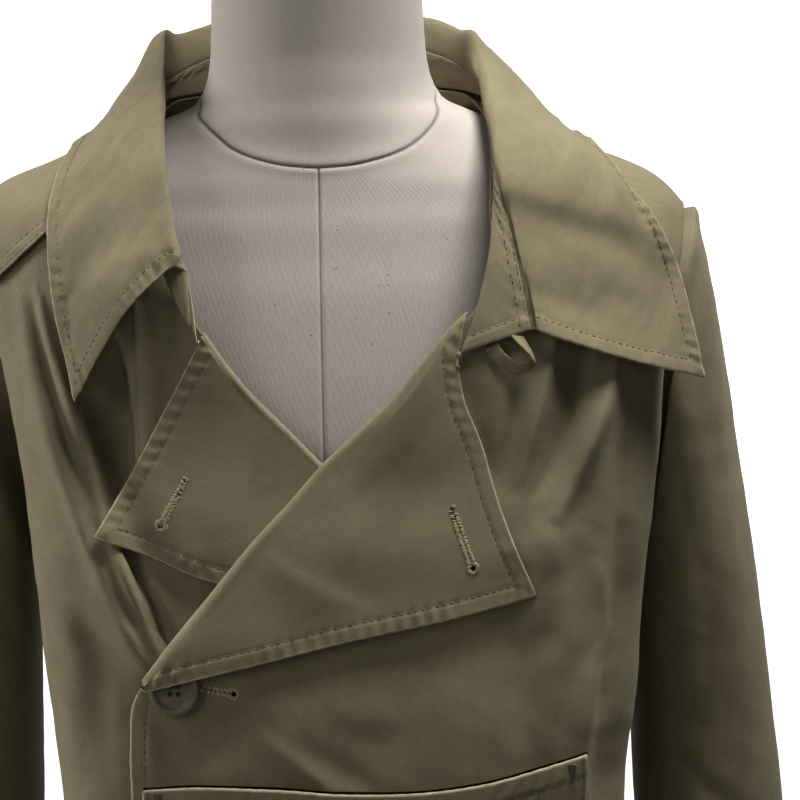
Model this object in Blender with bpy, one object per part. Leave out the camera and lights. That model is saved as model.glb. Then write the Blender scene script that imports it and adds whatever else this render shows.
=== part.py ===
"""A cotton trench coat, its collar open, on a limbless linen dress form with a pole and a round base.

Metres, +Z up, the origin under the middle of the stand's base. The coat faces -Y, so its wearer's
left is at +X. Tables are in millimetres. The coat's body is one surface, given by level sections:
every panel is a piece of it, and what lies on a panel is made from the panel's points, moved out.
"""

import math

import bmesh
import bpy
import numpy as np
from mathutils import Vector
from mathutils.bvhtree import BVHTree

MM = 0.001
WALL = 1.6 * MM            # cotton drill with its seam plies
SEAM = 0.3 * MM            # each panel stops this far short of a seam

HEM = 335.0                # height of the coat's hem
UNDERARM = 1120.0          # height of the armhole's lowest point
SIDE_TURN = 119.0          # degrees round from the front where the side seam starts
HEM_TURN = 114.0           # and where it ends, at the hem
EDGE_TURN = 80.0           # past this turn a row is measured along the side of the section
SIDE_RATE = 1.9            # mm of girth for each degree of turn at the side
BREAK = 1066.0             # height at which the front edge starts to turn back as a lapel

FORM_BOTTOM = 790.0
FORM_STEP = 34.0           # height between the form's rings
FORM_TURN = 12.0           # degrees between their points
POLE_RADIUS = 14 * MM
BASE_RADIUS = 175 * MM
BASE_HEIGHT = 22 * MM

BUTTON_X = -82.6
BUTTON_Z = 1070.0
BUTTON_RADIUS = 14.0
BUTTON_THICK = 3.6
BUTTON_HOLE_PITCH = 4.4
BUTTON_HOLE_RADIUS = 1.0
BUTTON_CLEAR = 1.2

# The coat's body: half widths to each side, the widest line's depth, the front and back
# faces' depths, and how square the front and back halves are.
# Columns: z, right, left, mid, front, back, front_n, back_n.
COAT = [
    (335, 214, 216, 0, -178, 172, 2.3, 2.3),
    (520, 199, 202, -4, -171, 162, 2.4, 2.3),
    (700, 182, 186, -14, -165, 150, 2.5, 2.3),
    (800, 169, 174, -28, -164, 138, 2.7, 2.3),
    (900, 157, 165, -46, -166, 124, 2.9, 2.3),
    (988, 152, 163, -56, -167, 111, 3.0, 2.3),
    (1051, 158, 171, -58, -161, 108, 3.0, 2.3),
    (1119, 165, 178, -54, -150, 112, 3.0, 2.3),
    (1188, 173, 188, -46, -134, 118, 2.8, 2.3),
    (1243, 183, 193, -36, -126, 119, 2.5, 2.2),
    (1286, 196, 202, -16, -117, 116, 2.2, 2.1),
    (1300, 202, 207, -2, -113, 114, 2.1, 2.0),
    (1317, 207, 209, 10, -106, 110, 2.0, 2.0),
    (1328, 200, 200, 13, -100, 107, 1.9, 1.9),
    (1338, 186, 186, 14, -93, 104, 1.85, 1.85),
    (1349, 160, 160, 14, -85, 100, 1.75, 1.75),
    (1362, 128, 128, 14, -76, 96, 1.7, 1.7),
    (1376, 97, 97, 14, -68, 92, 1.7, 1.7),
    (1392, 76, 76, 14, -60, 86, 1.8, 1.8),
    (1404, 46, 46, 14, -48, 78, 1.8, 1.8),
    (1418, 4, 4, 14, -20, 60, 1.8, 1.8),
]

# The dress form, read in the same way.
FORM = [
    (790, 140, 140, 5, -98, 100, 2.2, 2.2),
    (797, 147, 147, 5, -108, 108, 2.2, 2.2),
    (812, 149, 149, 5, -112, 112, 2.2, 2.2),
    (850, 146, 146, 4, -112, 111, 2.2, 2.2),
    (900, 139, 139, 2, -108, 104, 2.2, 2.2),
    (960, 129, 129, -2, -102, 95, 2.2, 2.2),
    (1015, 123, 123, -4, -101, 89, 2.2, 2.2),
    (1070, 128, 128, -8, -107, 91, 2.25, 2.2),
    (1125, 139, 139, -11, -115, 95, 2.3, 2.2),
    (1180, 151, 152, -14, -117, 101, 2.35, 2.2),
    (1215, 160, 162, -13, -111, 104, 2.3, 2.2),
    (1243, 168, 170, -10, -104, 105, 2.3, 2.2),
    (1275, 181, 183, -4, -95, 104, 2.2, 2.1),
    (1295, 192, 193, 2, -88, 102, 2.1, 2.0),
    (1314, 195, 195, 8, -82, 99, 2.0, 2.0),
    (1325.4, 190, 190, 12, -78, 96, 1.9, 1.9),
    (1335.5, 177, 177, 13, -75, 93, 1.85, 1.85),
    (1346.5, 152, 152, 13, -72, 89, 1.75, 1.75),
    (1359.5, 120, 120, 12, -69, 84, 1.7, 1.7),
    (1373, 88, 88, 8, -67, 78, 1.8, 1.8),
    (1381, 71, 71, 4, -65, 71, 1.95, 1.95),
    (1394, 64, 64, 1, -63, 66, 2.0, 2.0),
    (1410, 61.5, 61.5, 0, -61, 63, 2.0, 2.0),
    (1450, 60, 60, 0, -60, 60, 2.0, 2.0),
    (1500, 58.5, 58.5, -1, -60, 57, 2.0, 2.0),
    (1552, 57.5, 57.5, -2, -60, 55, 2.0, 2.0),
    (1560, 52, 52, -2, -54, 50, 2.0, 2.0),
]

# The turn of the armhole's front edge, round from the front, at each height.
# Columns: z, turn.
ARMHOLE = [
    (1066, 119), (1120, 122), (1136, 114), (1152, 107), (1168, 101), (1186, 97),
    (1204, 94), (1223, 91), (1243, 88), (1262, 85), (1278, 81.5), (1295, 85),
]
# The armhole's back edge: its distance out at each height.
# Columns: z, out.
BACK_ARMHOLE = [
    (1120, 0.885), (1140, 0.925), (1165, 0.95), (1200, 0.965), (1250, 0.98), (1290, 0.992), (1317, 1.0),
]

# Each front panel's rows: where the row leaves the neckline, the lapel's fold or the front
# edge, as distance across from the middle, and the height at which it meets armhole or side seam.
# Columns: across, inner_z, outer_z.
LEFT_FRONT = [
    (97, 1362, 1278), (95.5, 1340, 1262), (94, 1316, 1243), (91.5, 1293, 1223), (82, 1271, 1204),
    (64, 1251, 1186), (42, 1226, 1168), (20.5, 1207, 1152), (-1, 1188, 1136), (-23, 1164, 1120),
    (-47, 1139, 1106), (-72, 1110, 1092), (-97.5, 1079, 1079), (-104, 1066, 1066),
]
RIGHT_FRONT = [
    (97, 1362, 1278), (95, 1341, 1262), (91, 1318, 1243), (85, 1296, 1223), (76, 1275, 1204),
    (62, 1254, 1186), (42, 1230, 1168), (20, 1208, 1152), (-1, 1187, 1136), (-23, 1163, 1120),
    (-46, 1138, 1106), (-69, 1110, 1092), (-94, 1079, 1079), (-104, 1066, 1066),
]
EDGE_ACROSS = 108.0        # the front edges run down this far past the middle
SKIRT_LEVELS = (1040, 1012, 975, 925, 865, 795, 720, 640, 555, 470, 400, HEM)
FRONT_COUNT = 20
FOLD_DRAWN = 4.0           # the panel stops this far inside the lapel's fold

# The right front lies under the left: how far in, and where it sinks.
UNDERLAP = 8.5
UNDERLAP_FROM, UNDERLAP_TO = -165.0, -116.0
UNDERLAP_FADE = (1290.0, 1215.0)

# The back's columns: the share of the half width that each keeps, and its upper end, on the
# neckline and then along the shoulder seam, which lies forward of the shoulder's ridge.
# Columns: share, across, z.
BACK_NECK = [(0.00, 0, 1390), (0.12, 25, 1389.5), (0.24, 49, 1388), (0.35, 71, 1385), (0.43, 88, 1380.5)]
# Columns: share, along.
BACK_SEAM = [
    (0.475, 0.0), (0.55, 0.15), (0.62, 0.3), (0.69, 0.44), (0.76, 0.57), (0.83, 0.70), (0.89, 0.81),
    (0.95, 0.91), (1.00, 1.0),
]
RIDGE_OUT = 209.0
FLAP_SHARES = (0.0, 0.45, 0.8, 1.0)
BLADE_SHARES = (0.015, 0.05, 0.11, 0.2, 0.32, 0.46, 0.62, 0.8, 1.0)
FLAP_LIFT = 3.2            # how far the back's forward edge stands off the front that it is sewn over
FLAP_FLAT = 1.1            # share of the way to the ridge at which it lies flat again
NECK_STEP = 14.0           # height that the back's flap rows take below the neckline
NECK_FADE = 30.0           # and the width over which they lose it, next to the shoulder seam
BACK_LEVELS = (1106, 1092, 1079, 1066, 1040, 1012, 975, 925, 865, 795, 720, 640, 555, 470, 400, HEM)

# Soft folds of the front, each a ridge (or a trough if its height is below 0) along a line.
# Columns: x1, z1, x2, z2, height, width.
FRONT_FOLDS = [
    (-163, 1230, -101, 1083, 7.0, 11), (-143, 1232, -92, 1086, 6.0, 9), (-128, 1226, -90, 1096, -5.0, 9),
    (-150, 1120, -122, 900, 5.0, 14), (-118, 1050, -112, 840, 4.0, 14),
    (151, 1225, 112, 1130, 5.0, 22), (133, 1190, 149, 1000, -4.0, 10), (140, 1130, 141, 760, 5.0, 12),
    (-40, 1052, 30, 1005, 2.5, 16), (90, 1060, 60, 900, 3.0, 30), (-60, 900, -66, 420, 5.0, 32),
    (70, 800, 96, 420, 6.0, 36), (150, 840, 166, 420, 6.0, 26), (-160, 840, -172, 420, 6.0, 26),
]
BACK_FOLDS = [
    (-60, 1190, -92, 700, 6.0, 24), (66, 1180, 84, 640, 6.0, 26), (-120, 1230, -132, 900, 5.0, 20),
    (122, 1235, 128, 880, 5.0, 20), (4, 1120, -8, 520, -7.0, 26), (150, 1000, 150, 420, 6.0, 26),
    (-150, 960, -152, 420, 6.0, 26),
]
FLUTES = 9                 # waves round the hem
FLUTE_DEPTH = 9.0
FLUTE_FROM = 980.0

# The collar: sections from its right front end round the back to its left front end, each with
# its neck seam, the top of its stand, its fold, a place half way down the fall and the fall's edge.
# Columns: seam, stand, fold, middle, edge.
COLLAR = [
    ((-67, -122, 1255), (-71, -115, 1290), (-78, -122, 1296), (-106, -130, 1271), (-135, -114, 1223)),
    ((-76, -117, 1272), (-75, -113, 1301), (-79, -120, 1308), (-116, -118, 1288), (-141, -102, 1250)),
    ((-86, -108, 1297), (-79, -108, 1318), (-82, -109, 1327), (-120, -103, 1304), (-146, -86, 1277)),
    ((-93, -88, 1327), (-84, -89, 1342), (-85, -91, 1351), (-122, -80, 1335), (-149, -66, 1309)),
    ((-97, -47, 1358), (-86, -49, 1371), (-86.5, -52, 1382), (-119, -48, 1365), (-146, -36, 1343)),
    ((-97, 14, 1375), (-87, 20, 1391), (-88, 21, 1406), (-116, 20, 1385), (-139, 14, 1359)),
    ((-86, 32, 1382), (-80, 49, 1400), (-82, 58, 1419), (-108, 60, 1395), (-134, 60, 1352)),
    ((-52, 66, 1387), (-50, 74, 1411), (-50, 85, 1430), (-62, 99, 1397), (-76, 108, 1352)),
    ((0, 80, 1390), (0, 82, 1413), (0, 91, 1433), (0, 107, 1397), (0, 116, 1351)),
    ((52, 66, 1387), (49, 74, 1411), (50, 85, 1430), (64, 99, 1396), (80, 108, 1351)),
    ((86, 32, 1382), (79, 48, 1401), (82, 57, 1419), (112, 58, 1392), (142, 60, 1346)),
    ((97, 14, 1375), (88, 16, 1391), (95, 20, 1402), (126, 14, 1377), (154, 2, 1351)),
    ((97, -47, 1356), (94, -49, 1366), (99, -51, 1370), (141, -50, 1354), (174, -48, 1330)),
    ((95, -88, 1326), (98, -88, 1337), (102, -89, 1340), (150, -78, 1325), (190, -60, 1307)),
    ((93, -102, 1300), (105, -98, 1308), (108, -98, 1309), (158, -84, 1290), (200, -63, 1281)),
    ((86, -112, 1272), (110, -108, 1281), (114, -109, 1281), (161, -96, 1264), (206, -74, 1252)),
    ((76, -121, 1246), (114, -118, 1257), (119, -121, 1256), (163, -111, 1240), (211, -81, 1225)),
]
SEAM_LIFT = 3.9            # how far the collar's neck seam clears the coat's body
# How far each section's fold, and its fall where it passes over the stand, clear the coat's body.
FOLD_LIFT = (6.5, 8, 10, 10, 9, 8, 6, 5, 5, 5, 6, 8, 7.5, 6.5, 5.5, 5, 5)
OVER_LIFT = (7, 7, 7, 7, 7, 6, 5, 5, 5, 5, 5, 6, 6, 4.9, 4.6, 4.6, 4.6)
EDGE_LIFT = 4.6
STAND_LOWER = 1.2          # the stand clears the coat by this much less than the fold
STAND_GAPS = (0.3, 0.4)    # the stand ends this far from the neck seam and from the fall
COLLAR_COUNT = 41          # sections after smoothing
STAND_SHARES = (0.0, 0.33, 0.67, 1.0)
FALL_SHARES = (0.0, 0.07, 0.22, 0.42, 0.62, 0.82, 1.0)

# The lapels, at places along the fold from the neck seam to the break: the fold, the outer edge,
# and how far the cloth stands off the panel at the roll and at its edge.
# Columns: fold_x, fold_z, edge_x, edge_z, roll, rise.
LEFT_LAPEL = [
    (79, 1267, 73.5, 1243, 4.0, 3.0), (70, 1259, 76.5, 1220, 5.0, 3.0), (56, 1243, 85, 1197, 5.5, 2.8),
    (38, 1222, 93, 1167, 5.5, 2.8), (14, 1201, 102, 1141, 5.5, 2.8), (-1, 1188, 113, 1115, 5.5, 3.2),
    (-18.5, 1169, 62, 1104, 6.0, 4.0), (-41, 1146, 12, 1095, 6.4, 5.0), (-62.5, 1121, -34, 1085, 7.4, 6.8),
    (-84.2, 1096, -70, 1077, 8.0, 7.8), (-100.4, 1075.5, -98.5, 1070, 8.0, 7.8),
]
RIGHT_LAPEL = [
    (-63, 1259, -66, 1254, 3.6, 3.2), (-50, 1240, -76, 1235, 4.0, 3.2), (-36, 1223, -91, 1208, 4.4, 3.4),
    (-20, 1207, -107, 1180, 4.6, 4.8), (-1, 1187, -125, 1151, 4.8, 6.4), (14, 1171, -92, 1138, 4.6, 4.6),
    (28, 1156, -58, 1125, 4.0, 3.4), (40, 1144, -10, 1120, 3.6, 3.2), (50, 1133, 36, 1121, 3.4, 3.2),
]
LAPEL_SHARES = (0.0, 0.05, 0.14, 0.3, 0.5, 0.7, 0.87, 1.0)
LAPEL_START = 2.4
LAPEL_ROLL = 0.14          # share of the width where the roll is highest

# The patch pocket on the left front: its mouth's height across its width, and its foot.
# Columns: x, top, stand_off.
POCKET = [
    (-101, 1016, 1.2), (-70, 1018, 1.6), (-32, 1017, 2.4), (5, 1014, 2.6), (42, 1013, 2.4),
    (78, 1016, 2.2), (108, 1021, 1.8), (138, 1027, 1.6),
]
POCKET_BOTTOM = 812.0
POCKET_COUNT = 15
POCKET_CLEAR = 1.6
POCKET_SHARES = (0.0, 0.06, 0.18, 0.36, 0.56, 0.78, 1.0)

# The tape loop under the collar stand's left end: its middle line and its turn about it.
LOOP_WIDTH = 7.0
LOOP_WALL = 1.1
# Columns: x, z, stand_off, across_x, across_z, across_y.
LOOP = [
    (92.5, 1248, 2.4, 6.0, 2.4, 0.0), (95.5, 1243, 2.9, 5.9, 2.8, -0.6), (100, 1239, 4.0, 5.0, 4.0, -1.6),
    (105.5, 1235.5, 6.0, 3.0, 5.2, -2.4), (111.5, 1236.5, 7.6, 0.6, 5.4, -3.4),
    (114.6, 1240.4, 9.4, -2.0, 4.4, -3.6), (112.4, 1245.4, 9.8, -3.6, 2.6, -3.0),
    (109, 1250, 8.6, -4.4, 1.6, -2.0), (106.4, 1253.6, 7.2, -4.8, 1.2, -1.0),
]

# The sleeves hang empty: the outer and inner ends of each ring, its front and back, and their squareness.
# Columns: out_x, out_z, in_x, in_z, mid_y, half_y.
SLEEVE = [
    (219, 1297, 172, 1112, 12, 62), (226, 1262, 171, 1102, 14, 63), (234, 1212, 171, 1090, 16, 64),
    (243, 1142, 172, 1068, 18, 65), (251, 1080, 173, 1030, 19, 65), (256, 1030, 174, 992, 18, 64),
    (262, 962, 176, 936, 14, 63), (267, 890, 180, 872, 8, 61), (271, 820, 186, 808, 2, 60),
    (274, 760, 192, 752, -4, 58), (276, 728, 194, 722, -7, 58),
]
SLEEVE_CLEAR = 2.5         # how far a sleeve hangs from the body
SLEEVE_START = 1.9         # how far out of the armhole its first ring lies

COTTON = (0.115, 0.094, 0.052)
LINEN = (0.42, 0.38, 0.33)


def rows_of(table):
    """A table's rows as an array."""
    return np.array(table, float)


def smooth_read(keys, values, at):
    """Values at places between rows, joined by slopes that never overshoot a row."""
    keys, values, at = np.asarray(keys, float), np.asarray(values, float), np.asarray(at, float)
    step = np.diff(keys)
    slope = np.diff(values) / step
    before, after = slope[:-1], slope[1:]
    inner = np.where(before * after > 0, 2 * before * after / (before + after + 1e-30), 0)
    tangent = np.concatenate([slope[:1], inner, slope[-1:]])
    at = np.clip(at, keys[0], keys[-1])
    i = np.clip(np.searchsorted(keys, at, side="right") - 1, 0, len(keys) - 2)
    t = (at - keys[i]) / step[i]
    return (
        values[i] * (1 + 2 * t) * (1 - t) ** 2
        + tangent[i] * step[i] * t * (1 - t) ** 2
        + values[i + 1] * t * t * (3 - 2 * t)
        + tangent[i + 1] * step[i] * t * t * (t - 1)
    )


def smooth_path(points, count):
    """Evenly numbered points on a curve through all the given ones."""
    points = np.asarray(points, float)
    keys = np.arange(len(points), dtype=float)
    at = np.linspace(0, len(points) - 1, count)
    before = np.vstack([2 * points[0] - points[1], points, 2 * points[-1] - points[-2]])
    i = np.clip(np.floor(at).astype(int), 0, len(points) - 2)
    t = (at - keys[i])[:, None]
    p0, p1, p2, p3 = before[i], before[i + 1], before[i + 2], before[i + 3]
    curve = (2 * p0 - 5 * p1 + 4 * p2 - p3) * t**2 + (3 * p1 - p0 - 3 * p2 + p3) * t**3
    return 0.5 * (2 * p1 + (p2 - p0) * t + curve)


def ease(value):
    """0 to 1, with flat ends."""
    value = np.clip(value, 0, 1)
    return value * value * (3 - 2 * value)


def section(table, z):
    """The section of a body at each height: right and left half widths, mid, front, back and squareness."""
    rows = rows_of(table)
    rows = rows[np.argsort(rows[:, 0])]
    return [smooth_read(rows[:, 0], rows[:, k], z) for k in range(1, 8)]


def on_body(table, turn, z, lift=0.0):
    """A point of a body at a turn in degrees from the front (+ to the wearer's left) and a height."""
    turn, z = np.broadcast_arrays(np.asarray(turn, float), np.asarray(z, float))
    right, left, mid, front, back, front_n, back_n = section(table, z)
    half = np.where(turn < 0, right, left) + lift
    ahead = np.abs(turn) <= 90
    n = np.where(ahead, front_n, back_n)
    depth = np.where(ahead, front - mid - lift, back - mid + lift)
    angle = np.radians(np.abs(turn))
    x = np.sign(turn) * half * np.abs(np.sin(angle)) ** (2 / n)
    y = mid + depth * np.abs(np.cos(angle)) ** (2 / n)
    return np.stack([x, y, z], -1)


def face_depth(table, x, z, ahead):
    """Depth of a body's front or back face at each place of the front view."""
    right, left, mid, front, back, front_n, back_n = section(table, z)
    half = np.where(x < 0, right, left)
    n = np.where(ahead, front_n, back_n)
    share = np.clip(np.abs(x) / half, 0, 1)
    return mid + np.where(ahead, front - mid, back - mid) * (1 - share**n) ** (1 / n)


def ridge_height(x):
    """Height of the shoulder's ridge at each distance out."""
    rows = rows_of([row for row in COAT if row[0] >= 1317])
    rows = rows[np.argsort(rows[:, 2])]
    return smooth_read(rows[:, 2], rows[:, 0], np.abs(x))


def folds(table, x, z):
    """How far the soft folds of a face push it out at each place."""
    out = np.zeros(np.broadcast(x, z).shape)
    for x1, z1, x2, z2, height, width in table:
        along = np.array([x2 - x1, z2 - z1])
        length = math.hypot(*along)
        t = ((x - x1) * along[0] + (z - z1) * along[1]) / length**2
        off = np.abs((x - x1) * along[1] - (z - z1) * along[0]) / length
        fade = ease((t + 0.15) / 0.35) * ease((1.15 - t) / 0.35)
        out = out + height * fade * np.exp(-((off / width) ** 2))
    return out


def flutes(x, y, z):
    """The hem's waves, as a shift out from the body's middle at each place."""
    turn = np.arctan2(x, -y)
    depth = FLUTE_DEPTH * ease((FLUTE_FROM - z) / (FLUTE_FROM - HEM))
    return depth * np.cos(FLUTES * turn + 0.9 * np.sin(turn) + 0.6)


def shaped(points):
    """Coat points with the soft folds and the hem's waves added."""
    x, y, z = points[..., 0], points[..., 1], points[..., 2]
    mid = section(COAT, z)[2]
    facing = np.clip(np.abs(y - mid) / 60, 0, 1)
    push = np.where(y < mid, -folds(FRONT_FOLDS, x, z), folds(BACK_FOLDS, x, z)) * ease(facing)
    reach = np.hypot(x, y) + 1e-9
    wave = flutes(x, y, z)
    return np.stack([x + wave * x / reach, y + push + wave * y / reach, z], -1)


def underlap(x, z):
    """How far the right front sinks under the left one."""
    across = ease((x - UNDERLAP_FROM) / (UNDERLAP_TO - UNDERLAP_FROM))
    down = ease((UNDERLAP_FADE[0] - z) / (UNDERLAP_FADE[0] - UNDERLAP_FADE[1]))
    return UNDERLAP * across * down


def panel_reader(grid):
    """A function that stands points off a front panel: it reads the panel's own faces."""
    rows, columns = grid.shape[:2]
    faces = []
    for i in range(rows - 1):
        for j in range(columns - 1):
            a, b = i * columns + j, (i + 1) * columns + j
            faces += [(a, a + 1, b + 1), (a, b + 1, b)]
    tree = BVHTree.FromPolygons([Vector(p) for p in grid.reshape(-1, 3)], faces)

    def stand(x, z, off):
        x, z, off = np.broadcast_arrays(np.asarray(x, float), np.asarray(z, float), np.asarray(off, float))
        out = []
        for px, pz, by in zip(x.ravel(), z.ravel(), off.ravel()):
            hit = tree.ray_cast(Vector((px, -999, pz)), Vector((0, 1, 0)))[0]
            if hit is None:
                hit = tree.find_nearest(Vector((px, float(face_depth(COAT, px, pz, True)), pz)))[0]
            out.append((px, hit.y - by, pz))
        return np.array(out).reshape(*x.shape, 3)

    return stand


def spaced(path, count):
    """Points an equal length apart along a path."""
    length = np.concatenate([[0], np.cumsum(np.linalg.norm(np.diff(path, axis=0), axis=1))])
    at = np.linspace(0, length[-1], count)
    return np.stack([np.interp(at, length, path[:, k]) for k in range(3)], -1)


def armhole_turn(z):
    """The turn at which the front ends, at the armhole or the side seam."""
    z = np.asarray(z, float)
    rows = rows_of(ARMHOLE)
    upper = smooth_read(rows[:, 0], rows[:, 1], z)
    lower = SIDE_TURN + (HEM_TURN - SIDE_TURN) * ease((BREAK - z) / (BREAK - HEM))
    return np.where(z >= BREAK, upper, lower)


def front_row(side, across, inner_z, outer_z):
    """One row of a front panel, from its inner edge to the armhole or side seam."""
    t = np.linspace(0, 1, 90)
    z = inner_z + (outer_z - inner_z) * t
    right, left, mid, front, back, front_n, back_n = section(COAT, z)
    near, far = (left, right) if side > 0 else (right, left)
    turned = near * math.sin(math.radians(EDGE_TURN)) ** (2 / front_n)
    last = float(armhole_turn(outer_z))
    end = turned[-1] + SIDE_RATE * (last - EDGE_TURN)
    place = across + (end - across) * t
    flat = np.minimum(np.abs(place) / np.where(place < 0, far, near), 1)
    turn = np.degrees(np.arcsin(flat ** (front_n / 2))) * np.sign(place)
    turn = np.where(place > turned, EDGE_TURN + (place - turned) / SIDE_RATE, turn)
    row = on_body(COAT, side * turn, z)
    if side < 0:
        row[:, 1] += underlap(row[:, 0], z) * (row[:, 1] < mid)
    return shaped(spaced(row, FRONT_COUNT))


def front_rows(side, table):
    """All rows of a front panel, from the shoulder seam down to the hem."""
    rows = [front_row(side, *row) for row in table]
    rows += [front_row(side, -EDGE_ACROSS, z, z) for z in SKIRT_LEVELS]
    return np.array(rows)


def back_out(side, z):
    """The back's outer edge: its distance out at each height of the armhole or side seam."""
    z = np.asarray(z, float)
    right, left = section(COAT, z)[:2]
    half = left if side > 0 else right
    rows = rows_of(BACK_ARMHOLE)
    share = smooth_read(rows[:, 0], rows[:, 1], z)
    seam_n = section(COAT, z)[6]
    seam = np.abs(np.sin(np.radians(armhole_turn(z)))) ** (2 / seam_n)
    return half * np.where(z > UNDERARM, share, seam)


def back_half(side):
    """The back's columns on one side of its middle, rows from the neck or shoulder seam to the hem."""
    neck, seam = rows_of(BACK_NECK), rows_of(BACK_SEAM)
    start_x, start_z, end_z = LEFT_FRONT[0]
    end_x = abs(on_body(COAT, side * armhole_turn(end_z), end_z)[0])
    share = np.concatenate([neck[:, 0], seam[:, 0]])
    across = np.concatenate([neck[:, 1], start_x + (end_x - start_x) * seam[:, 1]])
    top = np.concatenate([neck[:, 2], start_z + (end_z - start_z) * seam[:, 1]])
    forward = np.arange(len(share)) >= len(neck)
    ridge_x = share * RIDGE_OUT
    edge = float(ridge_height(RIDGE_OUT))
    ridge_z = np.where(forward, ridge_height(ridge_x), top - NECK_STEP * ease((start_x - across) / NECK_FADE))
    rows = []
    for flap in FLAP_SHARES:
        x = across + (ridge_x - across) * flap
        z = top + (ridge_z - top) * flap
        ahead = forward & (flap < 1)
        y = face_depth(COAT, side * x, np.where(forward, np.minimum(z, ridge_height(x)), z), ahead)
        row = np.stack([side * x, y, z], -1)
        rows.append(np.where(ahead[:, None], away_from_coat(row, FLAP_LIFT * ease(FLAP_FLAT - flap)), row))
    for blade in BLADE_SHARES:
        level = edge + (UNDERARM - edge) * blade
        z = ridge_z + (UNDERARM - ridge_z) * blade
        x = share * back_out(side, level)
        rows.append(np.stack([side * x, face_depth(COAT, side * x, z, False), z], -1))
    for level in BACK_LEVELS:
        x = share * back_out(side, level)
        z = np.full(len(x), float(level))
        rows.append(np.stack([side * x, face_depth(COAT, side * x, z, False), z], -1))
    return shaped(np.array(rows))


def away_from_coat(points, clear):
    """Points moved out until each clears the coat's body surface."""
    points = np.array(points, float)

    def measure(p):
        right, left, mid, front, back, front_n, back_n = section(COAT, p[..., 2])
        ahead = p[..., 1] < mid
        n = np.where(ahead, front_n, back_n)
        half = np.where(p[..., 0] < 0, right, left)
        depth = np.where(ahead, mid - front, back - mid)
        return ((np.abs(p[..., 0]) / half) ** n + (np.abs(p[..., 1] - mid) / depth) ** n) ** (1 / n) - 1

    for _ in range(8):
        value = measure(points)
        slope = np.stack([(measure(points + d) - measure(points - d)) for d in np.eye(3) * 0.4], -1) / 0.8
        size = np.linalg.norm(slope, axis=-1) + 1e-9
        short = np.clip(clear - value / size, 0, 12)
        way = slope * np.array([0.2, 1.0, 0.2])
        way /= np.linalg.norm(way, axis=-1, keepdims=True) + 1e-9
        gain = np.clip((way * slope).sum(-1) / size, 0.3, 1)
        points += (short / gain)[..., None] * way
    return points


def collar_sections():
    """The collar's five lines, each smoothed to the same number of places."""
    lines = np.array(COLLAR, float)
    return [smooth_path(lines[:, k], COLLAR_COUNT) for k in range(5)]


def draw_in(grid, rows=(0, 0), columns=(0, 0)):
    """A grid whose outer rows and columns are drawn in by so many millimetres."""
    grid = np.array(grid, float)

    def pull(edge, inner, by):
        step = inner - edge
        by = np.broadcast_to(by, step.shape[:1])[:, None]
        return edge + by * step / (np.linalg.norm(step, axis=-1, keepdims=True) + 1e-9)

    grid[0], grid[-1] = pull(grid[0], grid[1], rows[0]), pull(grid[-1], grid[-2], rows[1])
    first, last = pull(grid[:, 0], grid[:, 1], columns[0]), pull(grid[:, -1], grid[:, -2], columns[1])
    grid[:, 0], grid[:, -1] = first, last
    return grid


def normals(grid, closed=False):
    """Unit normals of a grid of points, toward the viewer of rows going down and columns going right."""
    down = np.gradient(grid, axis=0, edge_order=2)
    if closed:
        right = np.roll(grid, -1, axis=1) - np.roll(grid, 1, axis=1)
    else:
        right = np.gradient(grid, axis=1, edge_order=2)
    normal = np.cross(down, right)
    return normal / (np.linalg.norm(normal, axis=-1, keepdims=True) + 1e-12)


def plain_material(name, colour, roughness, metallic=0.0):
    material = bpy.data.materials.new(name)
    material.use_nodes = True
    shader = material.node_tree.nodes["Principled BSDF"]
    shader.inputs["Base Color"].default_value = (*colour, 1)
    shader.inputs["Roughness"].default_value = roughness
    shader.inputs["Metallic"].default_value = metallic
    return material


def add_object(name, points, faces, material):
    """A mesh object from points in millimetres, with its faces turned out."""
    mesh = bpy.data.meshes.new(name)
    mesh.from_pydata([tuple(p) for p in np.asarray(points, float) * MM], [], faces)
    work = bmesh.new()
    work.from_mesh(mesh)
    bmesh.ops.recalc_face_normals(work, faces=work.faces)
    work.to_mesh(mesh)
    work.free()
    mesh.shade_smooth()
    mesh.set_sharp_from_angle(angle=math.radians(40))
    mesh.materials.append(material)
    made = bpy.data.objects.new(name, mesh)
    bpy.context.scene.collection.objects.link(made)
    return made


def add_cloth(name, grid, material, side=1, closed=False, wall=WALL / MM, facing=None):
    """A cloth wall: the grid is its outer face, and the other lies one wall behind it."""
    grid = np.asarray(grid, float)
    rows, columns = grid.shape[:2]
    inner = grid - side * wall * (normals(grid, closed) if facing is None else facing)
    points = np.concatenate([grid.reshape(-1, 3), inner.reshape(-1, 3)])
    depth = rows * columns
    faces = []
    spans = columns if closed else columns - 1
    for i in range(rows - 1):
        for j in range(spans):
            k = (j + 1) % columns
            a, b, c, d = i * columns + j, i * columns + k, (i + 1) * columns + k, (i + 1) * columns + j
            faces += [(a, b, c, d), (depth + d, depth + c, depth + b, depth + a)]
    for j in range(spans):
        k = (j + 1) % columns
        last = (rows - 1) * columns
        faces += [(j, depth + j, depth + k, k), (last + k, depth + last + k, depth + last + j, last + j)]
    if not closed:
        for i in range(rows - 1):
            a, b = i * columns, (i + 1) * columns
            c, d = a + columns - 1, b + columns - 1
            faces += [(a, b, depth + b, depth + a), (d, c, depth + c, depth + d)]
    return add_object(name, points, faces, material)


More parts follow.
